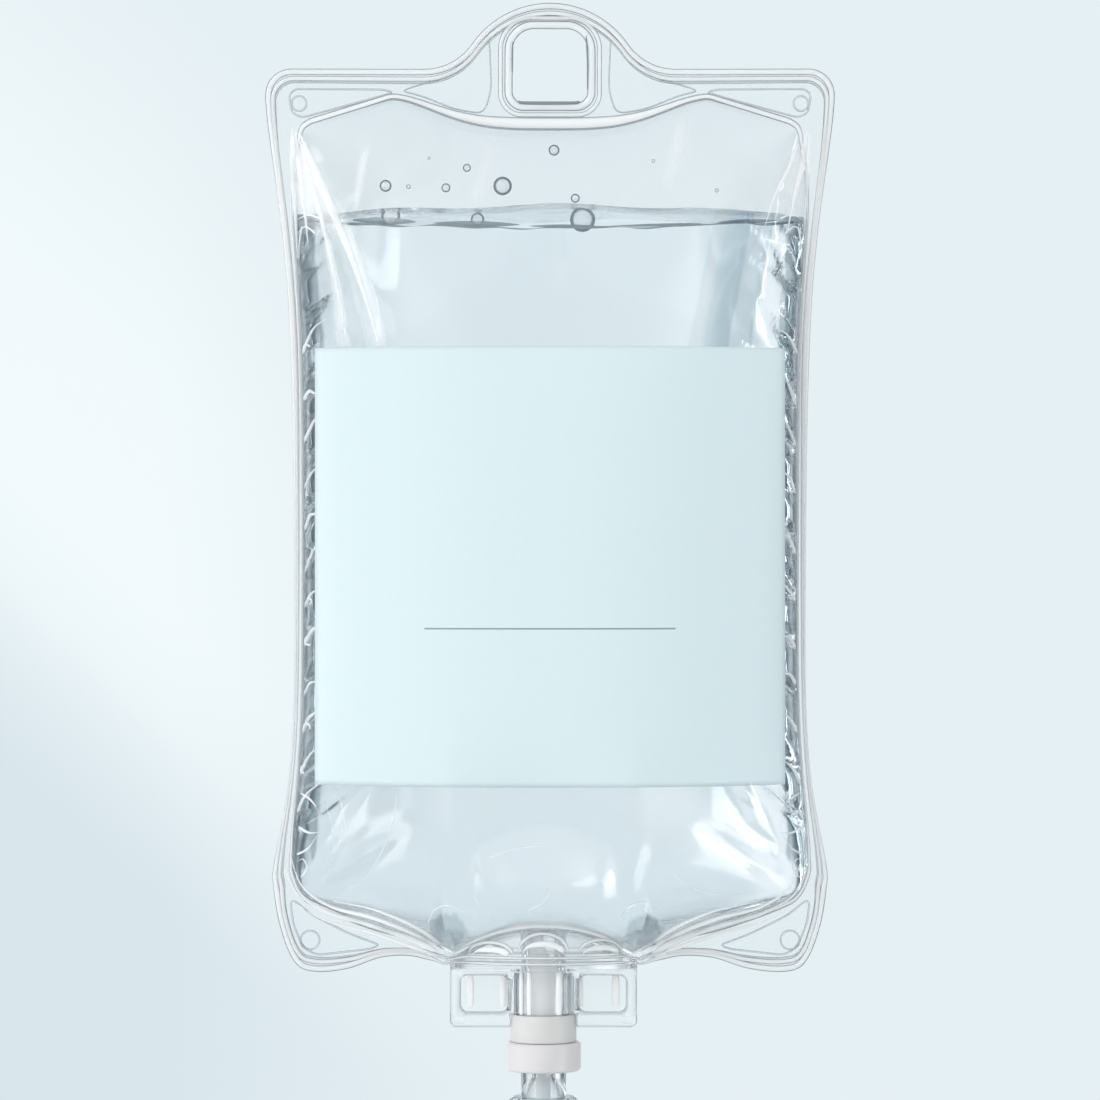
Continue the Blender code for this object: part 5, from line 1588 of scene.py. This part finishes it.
RUBBER = solid_plastic("septum_rubber", (0.62, 0.60, 0.56), (0.55, 0.53, 0.49), 0.65)
FROSTED = solid_plastic("frosted_white", (0.765, 0.75, 0.74), (0.745, 0.73, 0.72), 0.42, 380.0, 0.08)
septum_bore = 4.05 * MM
septum = [
    (NOSE_RADIUS, SEPTUM_HIGH[2]), (NOSE_RADIUS, SEPTUM_LOW[2]),
    (septum_bore, SEPTUM_LOW[2]), (septum_bore, SEPTUM_HIGH[2]),
]
fitted(turned("septum", septum, RUBBER, 0.2), "bag", "port_septum")
collar_radius = 6.6 * MM
collar_seat = NOSE_RADIUS + 0.3 * MM
collar = [
    (SLEEVE_RADIUS, COLLAR_HIGH[2]), (collar_radius, COLLAR_HIGH[2] - 1.4 * MM),
    (collar_radius, COLLAR_LOW[2]), (SLEEVE_BORE, COLLAR_LOW[2]),
    (SLEEVE_BORE, COLLAR_LOW[2] + 1.0 * MM), (collar_seat, COLLAR_LOW[2] + 1.0 * MM),
    (collar_seat, COLLAR_HIGH[2]),
]
fitted(turned("collar", collar, FROSTED, 0.35), "bag", "port_collar")


# Spike
# White moulded spike: a bevelled hollow point and a thick grip ring, pushed up through the septum.

SPIKE_LOW, SPIKE_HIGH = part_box("spike")
SPIKE_TIP_Z = -180.4 * MM
SPIKE_RADIUS = 3.9 * MM
HUB_RADIUS = (SPIKE_HIGH[0] - SPIKE_LOW[0]) / 2
HUB_TOP_Z = COLLAR_LOW[2] - 0.05 * MM
HUB_FOOT_Z = SPIKE_LOW[2]
NECK_RADIUS = 4.5 * MM
POINT_DEG = 52.0


def spike_solid(finish):
    socket = NECK_RADIUS + 0.3 * MM
    socket_z = HUB_FOOT_Z + 1.6 * MM
    bore = 1.5 * MM
    edge = 0.4 * MM
    profile = [
        (2.3 * MM, SPIKE_TIP_Z), (SPIKE_RADIUS, SPIKE_TIP_Z - 5.0 * MM), (SPIKE_RADIUS, HUB_TOP_Z),
        (HUB_RADIUS - edge, HUB_TOP_Z), (HUB_RADIUS, HUB_TOP_Z - edge),
        (HUB_RADIUS, HUB_FOOT_Z + edge), (HUB_RADIUS - edge, HUB_FOOT_Z),
        (socket, HUB_FOOT_Z), (socket, socket_z), (bore, socket_z),
        (bore, SPIKE_TIP_Z),
    ]
    body = turned("spike_body", profile, finish, 0.3)
    run = 4.6 * MM
    drop = run * math.tan(math.radians(POINT_DEG))
    left = PORT_X - 2.3 * MM
    slope = [
        (left, SPIKE_TIP_Z), (left + 2 * run, SPIKE_TIP_Z - 2 * drop),
        (left + 2 * run, SPIKE_TIP_Z + drop), (left, SPIKE_TIP_Z + drop),
    ]
    join_solid(body, upright_block("slope", slope, -8 * MM, 8 * MM), "DIFFERENCE")
    set_shading(body, 40)
    return body


WHITE = solid_plastic("white_plastic", (0.745, 0.72, 0.722), (0.72, 0.695, 0.697), 0.32)
fitted(spike_solid(WHITE), "infusion_set", "spike")


# Drip chamber
# Clear cap with its drop former, clear barrel, filter disc and a base with the outlet for the tube.

CAP_LOW, CAP_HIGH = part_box("chamber_cap")
FORMER_LOW, FORMER_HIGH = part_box("drop_former")
BARREL_LOW, BARREL_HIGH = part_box("chamber_barrel")
FILTER_LOW, FILTER_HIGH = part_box("chamber_filter")
BASE_LOW, BASE_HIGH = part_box("chamber_base")
BARREL_RADIUS = (BARREL_HIGH[0] - BARREL_LOW[0]) / 2
PLUG_RADIUS = BARREL_RADIUS - 1.1 * MM
PLUG_BORE = PLUG_RADIUS - 0.9 * MM
cap_foot_z = BARREL_HIGH[2] + 0.3 * MM
neck_foot_z = cap_foot_z + 2.4 * MM
neck_bore = NECK_RADIUS - 1.1 * MM
ledge_z = FORMER_HIGH[2] - 1.3 * MM
cap = [
    (NECK_RADIUS, CAP_HIGH[2]), (NECK_RADIUS, neck_foot_z),
    (BARREL_RADIUS - 0.84 * MM, neck_foot_z), (BARREL_RADIUS, neck_foot_z - 0.84 * MM),
    (BARREL_RADIUS, cap_foot_z), (PLUG_RADIUS, cap_foot_z), (PLUG_RADIUS, CAP_LOW[2]),
    (PLUG_BORE, CAP_LOW[2]), (PLUG_BORE, cap_foot_z), (1.7 * MM, ledge_z - 1.0 * MM),
    (1.7 * MM, ledge_z), (neck_bore, ledge_z), (neck_bore, CAP_HIGH[2]),
]
CAP = clear_glass("clear_cap", MOULDED_EDGE, 1.46, 0.03, 0.08)
fitted(turned("cap", cap, CAP, 0.3), "infusion_set", "chamber_cap")
former = [
    (neck_bore - 0.3 * MM, FORMER_HIGH[2]), (neck_bore - 0.3 * MM, FORMER_HIGH[2] - 1.0 * MM),
    (1.4 * MM, FORMER_HIGH[2] - 1.0 * MM), (1.4 * MM, FORMER_LOW[2]),
    (0.7 * MM, FORMER_LOW[2]), (0.7 * MM, FORMER_HIGH[2]),
]
FORMER = solid_plastic("former_tube", (0.86, 0.89, 0.90), (0.82, 0.86, 0.875), 0.25, 500.0, 0.5)
fitted(turned("former", former, FORMER, 0.15, 64), "infusion_set", "drop_former")
barrel_bore = BARREL_RADIUS - 0.8 * MM
barrel = [
    (BARREL_RADIUS, BARREL_HIGH[2]), (BARREL_RADIUS, BARREL_LOW[2]),
    (barrel_bore, BARREL_LOW[2]), (barrel_bore, BARREL_HIGH[2]),
]
BARREL = clear_glass("barrel_tube", MOULDED_EDGE, 1.42, 0.02, 0.04)
fitted(turned("barrel", barrel, BARREL, 0.25), "infusion_set", "chamber_barrel")
sieve = [
    (PLUG_RADIUS, FILTER_HIGH[2]), (PLUG_RADIUS, FILTER_LOW[2]),
    (0.05 * MM, FILTER_LOW[2]), (0.05 * MM, FILTER_HIGH[2]),
]
SIEVE = solid_plastic("filter_mesh", (0.86, 0.86, 0.84), (0.66, 0.67, 0.66), 0.8, 2400.0)
fitted(turned("filter", sieve, SIEVE, 0.1), "infusion_set", "chamber_filter")
flange_top_z = BARREL_LOW[2] - 0.3 * MM
flange_foot_z = flange_top_z - 1.6 * MM
base = [
    (PLUG_RADIUS, BASE_HIGH[2]), (PLUG_RADIUS, flange_top_z), (BARREL_RADIUS, flange_top_z),
    (BARREL_RADIUS, flange_foot_z), (2.9 * MM, flange_foot_z), (2.1 * MM, flange_foot_z - 0.8 * MM),
    (2.1 * MM, BASE_LOW[2]), (1.3 * MM, BASE_LOW[2]), (1.3 * MM, flange_top_z), (PLUG_BORE, BASE_HIGH[2]),
]
BASE = clear_glass("clear_base", MOULDED_EDGE, 1.46, 0.04, 0.08)
fitted(turned("base", base, BASE, 0.3), "infusion_set", "chamber_base")
